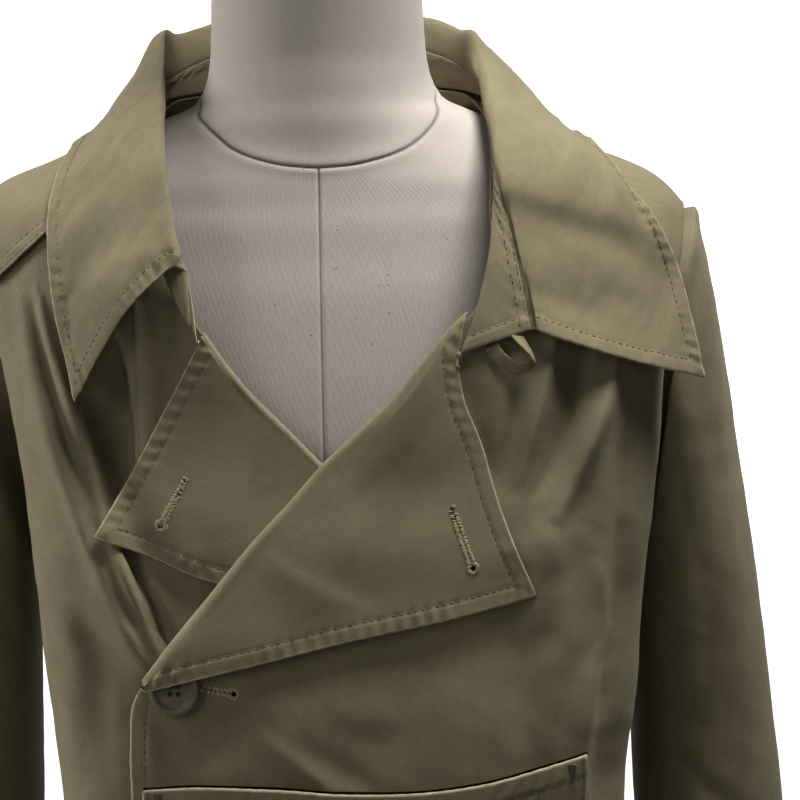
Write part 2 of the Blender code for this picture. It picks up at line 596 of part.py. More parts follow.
def add_turned(name, profile, count, material):
    """A solid turned about the Z axis from a profile of (radius, height), both ends closed."""
    points = [(0, 0, profile[0][1])]
    for radius, height in profile:
        points += [
            (radius * math.cos(2 * math.pi * k / count), radius * math.sin(2 * math.pi * k / count), height)
            for k in range(count)
        ]
    points.append((0, 0, profile[-1][1]))
    faces = [(0, 1 + (k + 1) % count, 1 + k) for k in range(count)]
    for ring in range(len(profile) - 1):
        a, b = 1 + ring * count, 1 + (ring + 1) * count
        faces += [(a + k, a + (k + 1) % count, b + (k + 1) % count, b + k) for k in range(count)]
    top = 1 + (len(profile) - 1) * count
    faces += [(len(points) - 1, top + k, top + (k + 1) % count) for k in range(count)]
    return add_object(name, points, faces, material)


def add_form(material):
    """The padded torso and neck, closed at the top of its neck and under its hips."""
    heights = []
    rows = rows_of(FORM)[:, 0]
    for low, high in zip(rows[:-1], rows[1:]):
        parts = max(1, int(round((high - low) / FORM_STEP)))
        heights += [low + (high - low) * k / parts for k in range(parts)]
    heights.append(rows[-1])
    turns = np.arange(-180, 180, FORM_TURN)
    rings = np.array([on_body(FORM, turns, np.full(len(turns), z)) for z in heights])
    count = len(turns)
    points = np.concatenate([rings.reshape(-1, 3), [[0, 0, heights[0]], [0, -2, heights[-1]]]])
    low, high = len(points) - 2, len(points) - 1
    faces = []
    for i in range(len(heights) - 1):
        for j in range(count):
            k = (j + 1) % count
            faces.append((i * count + j, i * count + k, (i + 1) * count + k, (i + 1) * count + j))
    last = (len(heights) - 1) * count
    faces += [(low, (j + 1) % count, j) for j in range(count)]
    faces += [(high, last + j, last + (j + 1) % count) for j in range(count)]
    return add_object("form_torso", points, faces, material)


def add_stand(steel):
    """The pole up into the form, and the round base that it stands on."""
    foot = BASE_HEIGHT / MM
    radius, pole = BASE_RADIUS / MM, POLE_RADIUS / MM
    add_turned(
        "stand_base",
        [(radius - 3, 0), (radius, 3), (radius, 8), (radius - 6, 12), (60, foot - 3), (pole + 8, foot)],
        48,
        steel,
    )
    add_turned("stand_pole", [(pole, foot + 0.3), (pole, FORM_BOTTOM - 0.3)], 24, steel)


def sleeve_rings(side, front, back):
    """A sleeve's rings: the armhole's own points, then ovals that turn down to the cuff."""
    loop = np.concatenate([front, back])
    top, foot = int(loop[:, 2].argmax()), len(front) - 1
    loop, foot = np.roll(loop, -top, axis=0), foot + len(loop) - top
    step = np.linalg.norm(np.diff(loop, axis=0, append=loop[:1]), axis=1)
    gone = np.concatenate([[0], np.cumsum(step[:-1])])
    ahead, whole = gone[foot], gone[-1] + step[-1]
    angle = np.where(gone <= ahead, -math.pi * gone / ahead, math.pi * (whole - gone) / (whole - ahead))
    start = np.array([side * SLEEVE_START, 0, 0])
    rings = [loop + start]
    for out_x, out_z, in_x, in_z, mid_y, half_y in SLEEVE:
        out_end, in_end = np.array([out_x, 0, out_z]), np.array([in_x, 0, in_z])
        centre, arm = (out_end + in_end) / 2, (out_end - in_end) / 2
        ring = centre + np.cos(angle)[:, None] * arm
        ring[:, 1] = mid_y + half_y * np.sin(angle)
        ring[:, 0] *= side
        rings.append(ring)
    rings = np.array(rings)
    rings[1:] = away_from_coat(rings[1:], SLEEVE_CLEAR)
    return rings


def add_coat(cotton):
    left = front_rows(1, LEFT_FRONT)
    right = front_rows(-1, RIGHT_FRONT)
    halves = {side: back_half(side) for side in (1, -1)}
    back = np.concatenate([halves[-1][:, :0:-1], halves[1]], axis=1)
    seam = SEAM / MM
    folded = [FOLD_DRAWN if 3 <= row < len(LEFT_FRONT) - 1 else seam for row in range(len(left))]
    add_cloth("front_left", draw_in(left, (seam, 0), (folded, seam)), cotton, side=1)
    add_cloth("front_right", draw_in(right, (seam, 0), (folded, seam)), cotton, side=-1)
    add_cloth("back", draw_in(back, (seam, 0), (seam, seam)), cotton, side=-1)
    underarm = [row[2] for row in LEFT_FRONT].index(UNDERARM)
    last = len(FLAP_SHARES) + len(BLADE_SHARES)
    for side, panel, name in ((1, left, "sleeve_left"), (-1, right, "sleeve_right")):
        edge = halves[side][:last, -1]
        rings = sleeve_rings(side, panel[: underarm + 1, -1], edge[-2:0:-1])
        add_cloth(name, rings, cotton, side=-side, closed=True)
    return panel_reader(left), panel_reader(right)


def add_collar(cotton):
    seam, top, fold, middle, edge = collar_sections()
    at = np.linspace(0, len(COLLAR) - 1, COLLAR_COUNT)
    lift = np.interp(at, range(len(COLLAR)), FOLD_LIFT)
    over = np.interp(at, range(len(COLLAR)), OVER_LIFT)
    seam, fold = away_from_coat(seam, SEAM_LIFT), away_from_coat(fold, lift)
    top = away_from_coat(top, lift - STAND_LOWER)
    stand = away_from_coat([seam + (top - seam) * share for share in STAND_SHARES], SEAM_LIFT)
    bend = 2 * middle - (fold + edge) / 2
    fall, clear = [top], [lift - STAND_LOWER]
    for share in FALL_SHARES[1:]:
        t = (share - FALL_SHARES[1]) / (1 - FALL_SHARES[1])
        fall.append(fold * (1 - t) ** 2 + 2 * bend * t * (1 - t) + edge * t * t)
        clear.append(over + (EDGE_LIFT - over) * ease((t - 0.4) / 0.6))
    fall = away_from_coat(fall, np.array(clear))
    fall[0] = stand[-1]
    facing = normals(np.concatenate([stand, fall[1:]]))
    seam_row = len(stand) - 1
    add_cloth("collar_stand", draw_in(stand, STAND_GAPS), cotton, side=-1, facing=facing[: seam_row + 1])
    add_cloth("collar_fall", draw_in(fall, (STAND_GAPS[1], 0)), cotton, side=-1, facing=facing[seam_row:])


def lapel_grid(table, stand):
    """A lapel folded back on its front: rows along its fold, columns out to its edge."""
    fold_x, fold_z, edge_x, edge_z, roll, rise = rows_of(table).T
    columns = []
    for share in LAPEL_SHARES:
        x = fold_x + (edge_x - fold_x) * share
        z = fold_z + (edge_z - fold_z) * share
        up = ease(share / LAPEL_ROLL)
        down = ease((share - LAPEL_ROLL) / (1 - LAPEL_ROLL))
        rolling = LAPEL_START + (roll - LAPEL_START) * up
        off = np.where(share < LAPEL_ROLL, rolling, roll + (rise - roll) * down)
        columns.append(stand(x, z, off))
    return np.array(columns).transpose(1, 0, 2)


def add_lapels(cotton, on_left, on_right):
    add_cloth("lapel_left", lapel_grid(LEFT_LAPEL, on_left), cotton, side=1)
    add_cloth("lapel_right", lapel_grid(RIGHT_LAPEL, on_right), cotton, side=-1)


def add_pocket(cotton, on_left):
    x_rows, top, stand_off = rows_of(POCKET).T
    x = np.linspace(x_rows[0], x_rows[-1], POCKET_COUNT)
    mouth = smooth_read(x_rows, top, x)
    off = smooth_read(x_rows, stand_off, x)
    rows = []
    for share in POCKET_SHARES:
        z = mouth + (POCKET_BOTTOM - mouth) * share
        lift = WALL / MM + POCKET_CLEAR + off * (1 - ease(share / 0.5))
        rows.append(on_left(x, z, lift))
    add_cloth("pocket", np.array(rows), cotton, side=1)


def add_loop(cotton, on_left):
    rows = []
    for x, z, off, across_x, across_z, across_y in LOOP:
        centre = on_left(x, z, off)
        half = np.array([across_x, across_y, across_z])
        half = half / np.linalg.norm(half) * LOOP_WIDTH / 2
        rows.append([centre - half, centre, centre + half])
    add_cloth("throat_loop", np.array(rows), cotton, side=1, wall=LOOP_WALL)


def add_button(horn, on_left):
    """A four-hole button with a raised rim and a dished middle, flat against the left front."""
    r, t = BUTTON_RADIUS, BUTTON_THICK
    profile = [
        (r - 1.6, 0), (r - 0.3, 1.0), (r, t - 1.4), (r - 0.8, t - 0.2), (r - 2.0, t),
        (r - 3.2, t - 0.5), (r - 4.2, t - 1.5), (2.0, t - 1.7),
    ]
    button = add_turned("button", profile, 28, horn)
    holes = []
    for k in range(4):
        angle = math.pi / 4 + k * math.pi / 2
        reach = BUTTON_HOLE_PITCH / math.sqrt(2)
        drill = add_turned("drill_%d" % k, [(BUTTON_HOLE_RADIUS, -1), (BUTTON_HOLE_RADIUS, t + 1)], 8, horn)
        drill.location = (reach * math.cos(angle) * MM, reach * math.sin(angle) * MM, 0)
        drill.hide_render = True
        drill.display_type = "WIRE"
        drill.parent = button
        cut = button.modifiers.new("hole_%d" % k, "BOOLEAN")
        cut.operation = "DIFFERENCE"
        cut.object = drill
        holes.append(drill)
    place = on_left(BUTTON_X, BUTTON_Z, BUTTON_CLEAR)
    across = on_left(BUTTON_X + 12, BUTTON_Z, 0) - on_left(BUTTON_X - 12, BUTTON_Z, 0)
    down = on_left(BUTTON_X, BUTTON_Z + 12, 0) - on_left(BUTTON_X, BUTTON_Z - 12, 0)
    button.rotation_euler = Vector(np.cross(across, down)).to_track_quat("Z", "Y").to_euler()
    button.location = tuple(place * MM)
    return button


def main():
    for old in list(bpy.data.objects):
        bpy.data.objects.remove(old)
    cotton = plain_material("cotton_drill", COTTON, 0.85)
    linen = plain_material("linen_cover", LINEN, 0.9)
    steel = plain_material("painted_steel", (0.03, 0.03, 0.032), 0.45)
    horn = plain_material("cast_resin", (0.13, 0.12, 0.09), 0.35)
    add_form(linen)
    add_stand(steel)
    on_left, on_right = add_coat(cotton)
    add_collar(cotton)
    add_lapels(cotton, on_left, on_right)
    add_pocket(cotton, on_left)
    add_loop(cotton, on_left)
    add_button(horn, on_left)


main()
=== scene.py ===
"""A cotton trench coat with its collar open, on a limbless linen dress form with a pole and a base."""

import math

import bmesh
import bpy
import numpy as np
from mathutils import Matrix, Vector
from mathutils.bvhtree import BVHTree


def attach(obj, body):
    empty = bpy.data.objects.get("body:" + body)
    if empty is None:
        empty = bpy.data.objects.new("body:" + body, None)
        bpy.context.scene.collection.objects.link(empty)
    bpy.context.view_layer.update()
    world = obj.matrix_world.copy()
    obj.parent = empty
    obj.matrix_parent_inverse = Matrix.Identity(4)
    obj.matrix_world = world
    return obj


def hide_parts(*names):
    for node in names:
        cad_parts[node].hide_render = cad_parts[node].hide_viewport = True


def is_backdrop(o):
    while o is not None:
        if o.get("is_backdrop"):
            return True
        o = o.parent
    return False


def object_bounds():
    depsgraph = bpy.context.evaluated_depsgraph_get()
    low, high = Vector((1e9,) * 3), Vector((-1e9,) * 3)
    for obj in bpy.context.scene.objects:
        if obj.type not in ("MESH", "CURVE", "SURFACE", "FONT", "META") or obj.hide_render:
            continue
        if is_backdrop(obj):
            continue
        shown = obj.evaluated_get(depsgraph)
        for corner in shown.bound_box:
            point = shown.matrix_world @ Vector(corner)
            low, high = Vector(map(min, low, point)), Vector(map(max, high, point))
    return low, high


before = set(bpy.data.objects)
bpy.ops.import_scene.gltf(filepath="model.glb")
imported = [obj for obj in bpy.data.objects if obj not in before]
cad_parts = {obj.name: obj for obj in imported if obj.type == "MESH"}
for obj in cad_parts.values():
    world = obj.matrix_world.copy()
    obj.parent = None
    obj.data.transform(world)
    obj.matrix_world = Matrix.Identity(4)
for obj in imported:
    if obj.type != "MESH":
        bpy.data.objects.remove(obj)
cad_low, cad_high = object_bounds()

# --- Base and pole -------------------------------------------------------------------------
# A round pressed-steel plate with a rolled rim, and a steel tube that stands in it and runs up
# into the form. Both are powder coated in satin dark grey, and a collar nut holds the tube.

MM = 0.001
BASE_RADIUS = 175.0
BASE_HEIGHT = 22.0         # up to the top of the nut's seat
POLE_RADIUS = 14.0
FORM_FOOT = 790.0          # height of the form's lower edge, where the pole ends
BASE_PROFILE = [
    (BASE_RADIUS - 3, 0), (BASE_RADIUS - 0.6, 0.8), (BASE_RADIUS, 3), (BASE_RADIUS, 7),
    (BASE_RADIUS - 1.2, 9.6), (BASE_RADIUS - 4, 11.4), (BASE_RADIUS - 12, 12.4), (90, 16.6),
    (60, BASE_HEIGHT - 3.4), (40, BASE_HEIGHT - 1.6), (POLE_RADIUS + 8, BASE_HEIGHT - 0.4),
    (POLE_RADIUS + 7, BASE_HEIGHT),
]


def linear(code):
    """A six-digit sRGB hex colour as linear red, green and blue, with alpha 1."""
    parts = [int(code[k : k + 2], 16) / 255 for k in (1, 3, 5)]
    return (*[c / 12.92 if c <= 0.04045 else ((c + 0.055) / 1.055) ** 2.4 for c in parts], 1.0)


def node(tree, kind, links=None, values=None, **settings):
    """Adds one shader node with its settings, the values of its sockets, and the outputs linked to them."""
    made = tree.nodes.new("ShaderNode" + kind)
    for key, value in settings.items():
        setattr(made, key, value)
    for key, value in (values or {}).items():
        made.inputs[key].default_value = value
    for key, output in (links or {}).items():
        tree.links.new(output, made.inputs[key])
    return made


def finish_of(name, **values):
    """A new material with its shader's own sockets set: gives the material, its nodes and its shader."""
    material = bpy.data.materials.new(name)
    material.use_nodes = True
    shader = material.node_tree.nodes["Principled BSDF"]
    for key, value in values.items():
        shader.inputs[key.replace("_", " ")].default_value = value
    return material, material.node_tree, shader


def piece(name, points, quads, material, slot, replaces=()):
    """A mesh piece from points in millimetres that rides on the part's one body."""
    mesh = bpy.data.meshes.new(name)
    mesh.from_pydata((np.asarray(points, float) * MM).tolist(), [], [list(map(int, q)) for q in quads])
    mesh.validate()
    mesh.shade_smooth()
    mesh.materials.append(material)
    made = bpy.data.objects.new(name, mesh)
    bpy.context.scene.collection.objects.link(made)
    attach(made, "root")
    if replaces:
        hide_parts(*replaces)
    return made


def turned(profile, count):
    """Points and faces of a closed solid turned about the Z axis from a profile of (radius, height)."""
    turn = np.arange(count) * 2 * math.pi / count
    points = [[0, 0, profile[0][1]]]
    for radius, height in profile:
        ring = [radius * np.cos(turn), radius * np.sin(turn), np.full(count, height)]
        points += np.stack(ring, -1).tolist()
    points.append([0, 0, profile[-1][1]])
    quads = [(0, 1 + (k + 1) % count, 1 + k) for k in range(count)]
    for ring in range(len(profile) - 1):
        a, b = 1 + ring * count, 1 + (ring + 1) * count
        quads += [(a + k, a + (k + 1) % count, b + (k + 1) % count, b + k) for k in range(count)]
    top = 1 + (len(profile) - 1) * count
    quads += [(len(points) - 1, top + k, top + (k + 1) % count) for k in range(count)]
    return points, quads


# A Mix node's sockets when it mixes colours: its factor, its two colours and its result.
MIX_SHARE, MIX_FROM, MIX_TO, MIX_OUT = 0, 6, 7, 2

# Powder-coated mild steel: a satin skin with a faint orange-peel that softens its highlights.
coated_steel, tree, shader = finish_of("powder_coated_steel", Roughness=0.42)
place = node(tree, "TexCoord").outputs["Object"]
peel = node(tree, "TexNoise", {"Vector": place}, {"Scale": 700.0, "Detail": 2.0}).outputs["Fac"]
dust = node(tree, "TexNoise", {"Vector": place}, {"Scale": 9.0, "Detail": 4.0}).outputs["Fac"]
greys = {MIX_FROM: linear("#232426"), MIX_TO: linear("#34363a")}
tone = node(tree, "Mix", {MIX_SHARE: dust}, greys, data_type="RGBA").outputs[MIX_OUT]
tree.links.new(tone, shader.inputs["Base Color"])
bump = node(tree, "Bump", {"Height": peel}, {"Strength": 0.12, "Distance": 0.0004})
tree.links.new(bump.outputs[0], shader.inputs["Normal"])

base = piece("stand_base_plate", *turned(BASE_PROFILE, 128), coated_steel, "painted_steel", ["stand_base"])
pole_profile = [
    (POLE_RADIUS + 6, BASE_HEIGHT + 0.3), (POLE_RADIUS + 6, BASE_HEIGHT + 9),
    (POLE_RADIUS + 4.6, BASE_HEIGHT + 10.4), (POLE_RADIUS + 0.4, BASE_HEIGHT + 11),
    (POLE_RADIUS, BASE_HEIGHT + 12), (POLE_RADIUS, FORM_FOOT - 0.3),
]
pole = piece("stand_pole_tube", *turned(pole_profile, 64), coated_steel, "painted_steel", ["stand_pole"])
for made in (base, pole):
    made.data.set_sharp_from_angle(angle=math.radians(40))


# --- Dress form ----------------------------------------------------------------------------
# A limbless torso and neck: a thin hard shell, wadded and covered in two shaped panels of plain
# linen with a seam down the middle of the front and back, and a third piece round the neck.

# Its sections: half widths to its right and left, the widest line's depth, the front and back
# faces' depths, and how square the front and back halves are.
# Columns: z, right, left, mid, front, back, front_n, back_n.
FORM = [
    (790, 140, 140, 5, -98, 100, 2.2, 2.2),
    (797, 147, 147, 5, -108, 108, 2.2, 2.2),
    (812, 149, 149, 5, -112, 112, 2.2, 2.2),
    (850, 146, 146, 4, -112, 111, 2.2, 2.2),
    (900, 139, 139, 2, -108, 104, 2.2, 2.2),
    (960, 129, 129, -2, -102, 95, 2.2, 2.2),
    (1015, 123, 123, -4, -101, 89, 2.2, 2.2),
    (1070, 128, 128, -8, -107, 91, 2.25, 2.2),
    (1125, 139, 139, -11, -115, 95, 2.3, 2.2),
    (1180, 151, 152, -14, -117, 101, 2.35, 2.2),
    (1215, 160, 162, -13, -111, 104, 2.3, 2.2),
    (1243, 168, 170, -10, -104, 105, 2.3, 2.2),
    (1275, 181, 183, -4, -95, 104, 2.2, 2.1),
    (1295, 192, 193, 2, -88, 102, 2.1, 2.0),
    (1314, 195, 195, 8, -82, 99, 2.0, 2.0),
    (1325.4, 190, 190, 12, -78, 96, 1.9, 1.9),
    (1335.5, 177, 177, 13, -75, 93, 1.85, 1.85),
    (1346.5, 152, 152, 13, -72, 89, 1.75, 1.75),
    (1359.5, 120, 120, 12, -69, 84, 1.7, 1.7),
    (1373, 88, 88, 8, -67, 78, 1.8, 1.8),
    (1381, 71, 71, 4, -65, 71, 1.95, 1.95),
    (1394, 64, 64, 1, -63, 66, 2.0, 2.0),
    (1410, 61.5, 61.5, 0, -61, 63, 2.0, 2.0),
    (1450, 60, 60, 0, -60, 60, 2.0, 2.0),
    (1500, 58.5, 58.5, -1, -60, 57, 2.0, 2.0),
    (1552, 57.5, 57.5, -2, -60, 55, 2.0, 2.0),
    (1560, 52, 52, -2, -54, 50, 2.0, 2.0),
]
FORM_FINE = 1240.0         # its rings are close above this height, where the coat leaves it bare
FORM_STEPS = (3.0, 12.0)   # height between the rings, above that and below it
# The neck seam: its height at each turn from the front.
NECK_SEAM = [
    (-180, 1404), (-140, 1402), (-100, 1392), (-80, 1384), (-60, 1376.5), (-45, 1370), (-34, 1363),
    (-26, 1356.5), (-16, 1350), (-8, 1346.5), (0, 1345.2), (8, 1346), (16, 1349), (24, 1353.6),
    (30, 1358), (40, 1365.6), (51, 1372.5), (70, 1381), (100, 1392), (140, 1402), (180, 1404),
]
SEAM_GROOVE = 0.8          # depth of the form's seams
SEAM_HALF = 0.75           # half their width
FORM_GIRTH_RADIUS = 150.0  # the cover's weave is laid round the form as if it had this radius
SEAM_REACH = 70.0          # the rings follow the neck seam within this height of it


def rows_of(table):
    """A table's rows as an array."""
    return np.array(table, float)


def between(values, slopes, step, i, t):
    """Values at the share t of the step from row i to the next, with given slopes at both."""
    return (
        values[i] * (1 + 2 * t) * (1 - t) ** 2
        + slopes[i] * step * t * (1 - t) ** 2
        + values[i + 1] * t * t * (3 - 2 * t)
        + slopes[i + 1] * step * t * t * (t - 1)
    )


def row_before(keys, at):
    """Places kept within the rows, and the row that each one follows."""
    at = np.clip(at, keys[0], keys[-1])
    return at, np.clip(np.searchsorted(keys, at, side="right") - 1, 0, len(keys) - 2)


def smooth_read(keys, values, at):
    """Values at places between rows, joined by slopes that never overshoot a row."""
    keys, values, at = np.asarray(keys, float), np.asarray(values, float), np.asarray(at, float)
    step = np.diff(keys)
    slope = np.diff(values) / step
    before, after = slope[:-1], slope[1:]
    inner = np.where(before * after > 0, 2 * before * after / (before + after + 1e-30), 0)
    slopes = np.concatenate([slope[:1], inner, slope[-1:]])
    at, i = row_before(keys, at)
    return between(values, slopes, step[i], i, (at - keys[i]) / step[i])


def ease(value):
    """0 to 1, with flat ends."""
    value = np.clip(value, 0, 1)
    return value * value * (3 - 2 * value)


def bell(value, width):
    """1 at 0, falling smoothly to 0 within about two widths on either side."""
    return np.exp(-((value / width) ** 2))


def unit(vectors):
    """The same directions, each 1 long."""
    return vectors / (np.linalg.norm(vectors, axis=-1, keepdims=True) + 1e-9)


def section(table, z):
    """The section of a body at each height: right and left half widths, mid, front, back and squareness."""
    rows = rows_of(table)
    return [smooth_read(rows[:, 0], rows[:, k], z) for k in range(1, 8)]


def on_body(table, turn, z, lift=0.0):
    """A point of a body at a turn in degrees from the front (+ to the wearer's left) and a height."""
    turn, z = np.broadcast_arrays(np.asarray(turn, float), np.asarray(z, float))
    right, left, mid, front, back, front_n, back_n = section(table, z)
    half = np.where(turn < 0, right, left) + lift
    ahead = np.abs(turn) <= 90
    n = np.where(ahead, front_n, back_n)
    depth = np.where(ahead, front - mid - lift, back - mid + lift)
    angle = np.radians(np.abs(turn))
    x = np.sign(turn) * half * np.abs(np.sin(angle)) ** (2 / n)
    y = mid + depth * np.abs(np.cos(angle)) ** (2 / n)
    return np.stack([x, y, z], -1)


low, high = FORM[0][0], FORM[-1][0]
seam_keys = rows_of(NECK_SEAM)
middle = seam_keys[:, 1].mean()
close = np.array([0.5, 1.0, 1.5, 2.2, 3.2, 4.6, 6.6, 9.0])
heights = np.concatenate([
    np.arange(low, FORM_FINE, FORM_STEPS[1]), np.arange(FORM_FINE, middle - 11, FORM_STEPS[0]),
    middle - close[::-1], [middle], middle + close, np.arange(middle + 12, high - 1, FORM_STEPS[0]), [high],
])
half_turn = np.concatenate([np.linspace(0, 2.0, 9), np.arange(3.0, 178, 1.75), np.linspace(178, 180, 5)])
turns = np.concatenate([-half_turn[-2:0:-1], half_turn])
FORM_POINTS = len(turns)
seam_height = smooth_read(seam_keys[:, 0], seam_keys[:, 1], turns)
follow = ease(1 - np.abs(heights - middle) / SEAM_REACH)
level = heights[:, None] + follow[:, None] * (seam_height - middle)[None, :]
rings = on_body(FORM, np.broadcast_to(turns, level.shape), level)
neck_off = (heights - middle)[:, None] * np.ones_like(level)
below = neck_off < 0
groove = bell(neck_off, SEAM_HALF) + bell(rings[..., 0], SEAM_HALF) * below
outward = unit(rings * [1, 1, 0])
pillow = bell(np.abs(neck_off) - 2.6, 2.2) * 0.35
rings = rings + outward * (pillow - SEAM_GROOVE * np.clip(groove, 0, 1))[..., None]
points = np.concatenate([rings.reshape(-1, 3), [[0, 0, low]], [[0, -2, high]]])
a = np.arange(FORM_POINTS)
b = (a + 1) % FORM_POINTS
last = (len(heights) - 1) * FORM_POINTS
quads = []
for ring in range(0, last, FORM_POINTS):
    quads += (ring + np.stack([a, b, b + FORM_POINTS, a + FORM_POINTS], -1)).tolist()
quads += [(len(points) - 2, j, i) for i, j in zip(a, b)]
quads += [(len(points) - 1, last + i, last + j) for i, j in zip(a, b)]


def kept_on(made, name, values):
    """Keeps a number, or three, for each of a mesh's points, for its material to read."""
    values = np.asarray(values, np.float32)
    kind, field = ("FLOAT_VECTOR", "vector") if values.ndim == 2 else ("FLOAT", "value")
    made.data.attributes.new(name, kind, "POINT").data.foreach_set(field, values.ravel())


# Unbleached linen cloth: uneven yarns in a diagonal twill, dull, with dark specks of flax straw, and painted
# shade darkening its seam grooves.
# Its yarns are 0.35 mm apart, too fine to show here, so the twill is drawn at 1.5 mm.
linen, tree, shader = finish_of(
    "unbleached_linen", Roughness=0.88, Sheen_Weight=0.12, Sheen_Roughness=0.5, Specular_IOR_Level=0.25
)
cover = node(tree, "Attribute", attribute_name="cover").outputs["Vector"]
spread = node(tree, "TexNoise", {"Vector": cover}, {"Scale": 0.014, "Detail": 3.0}).outputs["Fac"]
lean = (0, 0, math.radians(-52))
yarn = node(tree, "Mapping", {"Vector": cover}, {"Rotation": lean, "Scale": (1.0, 0.22, 1.0)})
slub = node(tree, "TexNoise", {"Vector": yarn.outputs[0]}, {"Scale": 0.9, "Detail": 3.0, "Roughness": 0.7})
twill = node(
    tree, "TexWave", {"Vector": yarn.outputs[0]},
    {"Scale": 0.21, "Distortion": 1.2, "Detail": 1.0, "Detail Scale": 1.5}, bands_direction="X",
)
fleck = node(tree, "TexVoronoi", {"Vector": cover}, {"Scale": 0.11, "Randomness": 1.0})
fleck_spot = node(tree, "Math", {0: fleck.outputs["Distance"]}, {1: 0.045}, operation="LESS_THAN").outputs[0]
greys = {MIX_FROM: linear("#9a9088"), MIX_TO: linear("#a69d95")}
tone = node(tree, "Mix", {MIX_SHARE: spread}, greys, data_type="RGBA").outputs[MIX_OUT]
for source, low, high, dark, pale in ((slub, 0.3, 0.7, 0.92, 1.07), (twill, 0.0, 1.0, 0.97, 1.02)):
    span = {"From Min": low, "From Max": high, "To Min": dark, "To Max": pale}
    yarns = node(tree, "MapRange", {"Value": source.outputs["Fac"]}, span).outputs[0]
    both = {MIX_FROM: tone, MIX_TO: yarns}
    product = node(tree, "Mix", both, {MIX_SHARE: 1.0}, data_type="RGBA", blend_type="MULTIPLY")
    tone = product.outputs[MIX_OUT]
spots, straw = {MIX_SHARE: fleck_spot, MIX_FROM: tone}, {MIX_TO: linear("#5e5349")}
tone = node(tree, "Mix", spots, straw, data_type="RGBA").outputs[MIX_OUT]
# Painted shade: the seam grooves are darkened toward a dark brown, standing in for the shade that falls in
# them.
groove_mask = node(tree, "Attribute", attribute_name="seam").outputs["Fac"]
groove_shade_share = node(tree, "MapRange", {"Value": groove_mask}, {"From Min": 0.35, "To Max": 0.8}).outputs[0]
sunk, painted_groove_shade = {MIX_SHARE: groove_shade_share, MIX_FROM: tone}, {MIX_TO: linear("#4a4038")}
tone = node(tree, "Mix", sunk, painted_groove_shade, data_type="RGBA").outputs[MIX_OUT]
tree.links.new(tone, shader.inputs["Base Color"])
weave = node(tree, "Math", {0: twill.outputs["Fac"], 1: slub.outputs["Fac"]}, operation="ADD")
bump = node(tree, "Bump", {"Height": weave.outputs[0]}, {"Strength": 0.12, "Distance": 0.0003})
tree.links.new(bump.outputs[0], shader.inputs["Normal"])

form = piece("form_torso_cover", points, quads, linen, "linen_cover", ["form_torso"])
girth = np.radians(turns)[None, :] * FORM_GIRTH_RADIUS * np.ones_like(neck_off)
cover_mm = np.stack([girth, rings[..., 2], np.where(below, 0.0, 37.0)], -1).reshape(-1, 3)
kept_on(form, "cover", np.concatenate([cover_mm, cover_mm[:1], cover_mm[-1:]]))
# The seam grooves' mask, which the cover's finish reads to paint shade into them.
kept_on(form, "seam", np.concatenate([np.clip(groove, 0, 1).ravel(), [0, 0]]))


# --- The coat's body -----------------------------------------------------------------------
# One surface carries every panel of the coat. It is a cotton drill garment, unlined, with its
# seams felled and its edges faced, and it hangs from the form's shoulders with its front open.

PANEL_WALL = 1.4           # thickness of the panels' drill
HEM = 335.0                # height of the coat's hem
UNDERARM = 1120.0          # height of the armhole's lowest point
SIDE_TURN = 119.0          # degrees round from the front where the side seam starts
HEM_TURN = 114.0           # and where it ends, at the hem
EDGE_TURN = 80.0           # past this turn a row is measured along the side of the section
SIDE_RATE = 1.9            # mm of girth for each degree of turn at the side
BREAK = 1066.0             # height at which the front edge starts to turn back as a lapel
# The coat's sections, read as the form's are.
# Columns: z, right, left, mid, front, back, front_n, back_n.
COAT = [
    (335, 214, 216, 0, -178, 172, 2.3, 2.3),
    (520, 199, 202, -4, -171, 162, 2.4, 2.3),
    (700, 182, 186, -14, -165, 150, 2.5, 2.3),
    (800, 169, 174, -28, -164, 138, 2.7, 2.3),
    (900, 157, 165, -46, -166, 124, 2.9, 2.3),
    (988, 152, 163, -56, -167, 111, 3.0, 2.3),
    (1051, 158, 171, -58, -161, 108, 3.0, 2.3),
    (1119, 165, 178, -54, -150, 112, 3.0, 2.3),
    (1188, 173, 188, -46, -134, 118, 2.8, 2.3),
    (1243, 183, 193, -36, -126, 119, 2.5, 2.2),
    (1286, 196, 202, -16, -117, 116, 2.2, 2.1),
    (1300, 202, 207, -2, -113, 114, 2.1, 2.0),
    (1317, 207, 209, 10, -106, 110, 2.0, 2.0),
    (1328, 200, 200, 13, -100, 107, 1.9, 1.9),
    (1338, 186, 186, 14, -93, 104, 1.85, 1.85),
    (1349, 160, 160, 14, -85, 100, 1.75, 1.75),
    (1362, 128, 128, 14, -76, 96, 1.7, 1.7),
    (1376, 97, 97, 14, -68, 92, 1.7, 1.7),
    (1392, 76, 76, 14, -60, 86, 1.8, 1.8),
    (1404, 46, 46, 14, -48, 78, 1.8, 1.8),
    (1418, 4, 4, 14, -20, 60, 1.8, 1.8),
]
# The turn of the armhole's front edge, round from the front, at each height.
# Columns: z, turn.
ARMHOLE = [
    (1066, 119), (1120, 122), (1136, 114), (1152, 107), (1168, 101), (1186, 97),
    (1204, 94), (1223, 91), (1243, 88), (1262, 85), (1278, 81.5), (1295, 85),
]
FLUTES = 9                 # waves round the hem
FLUTE_DEPTH = 9.0          # how deep they are at the hem
FLUTE_FROM = 980.0         # the height from which they grow
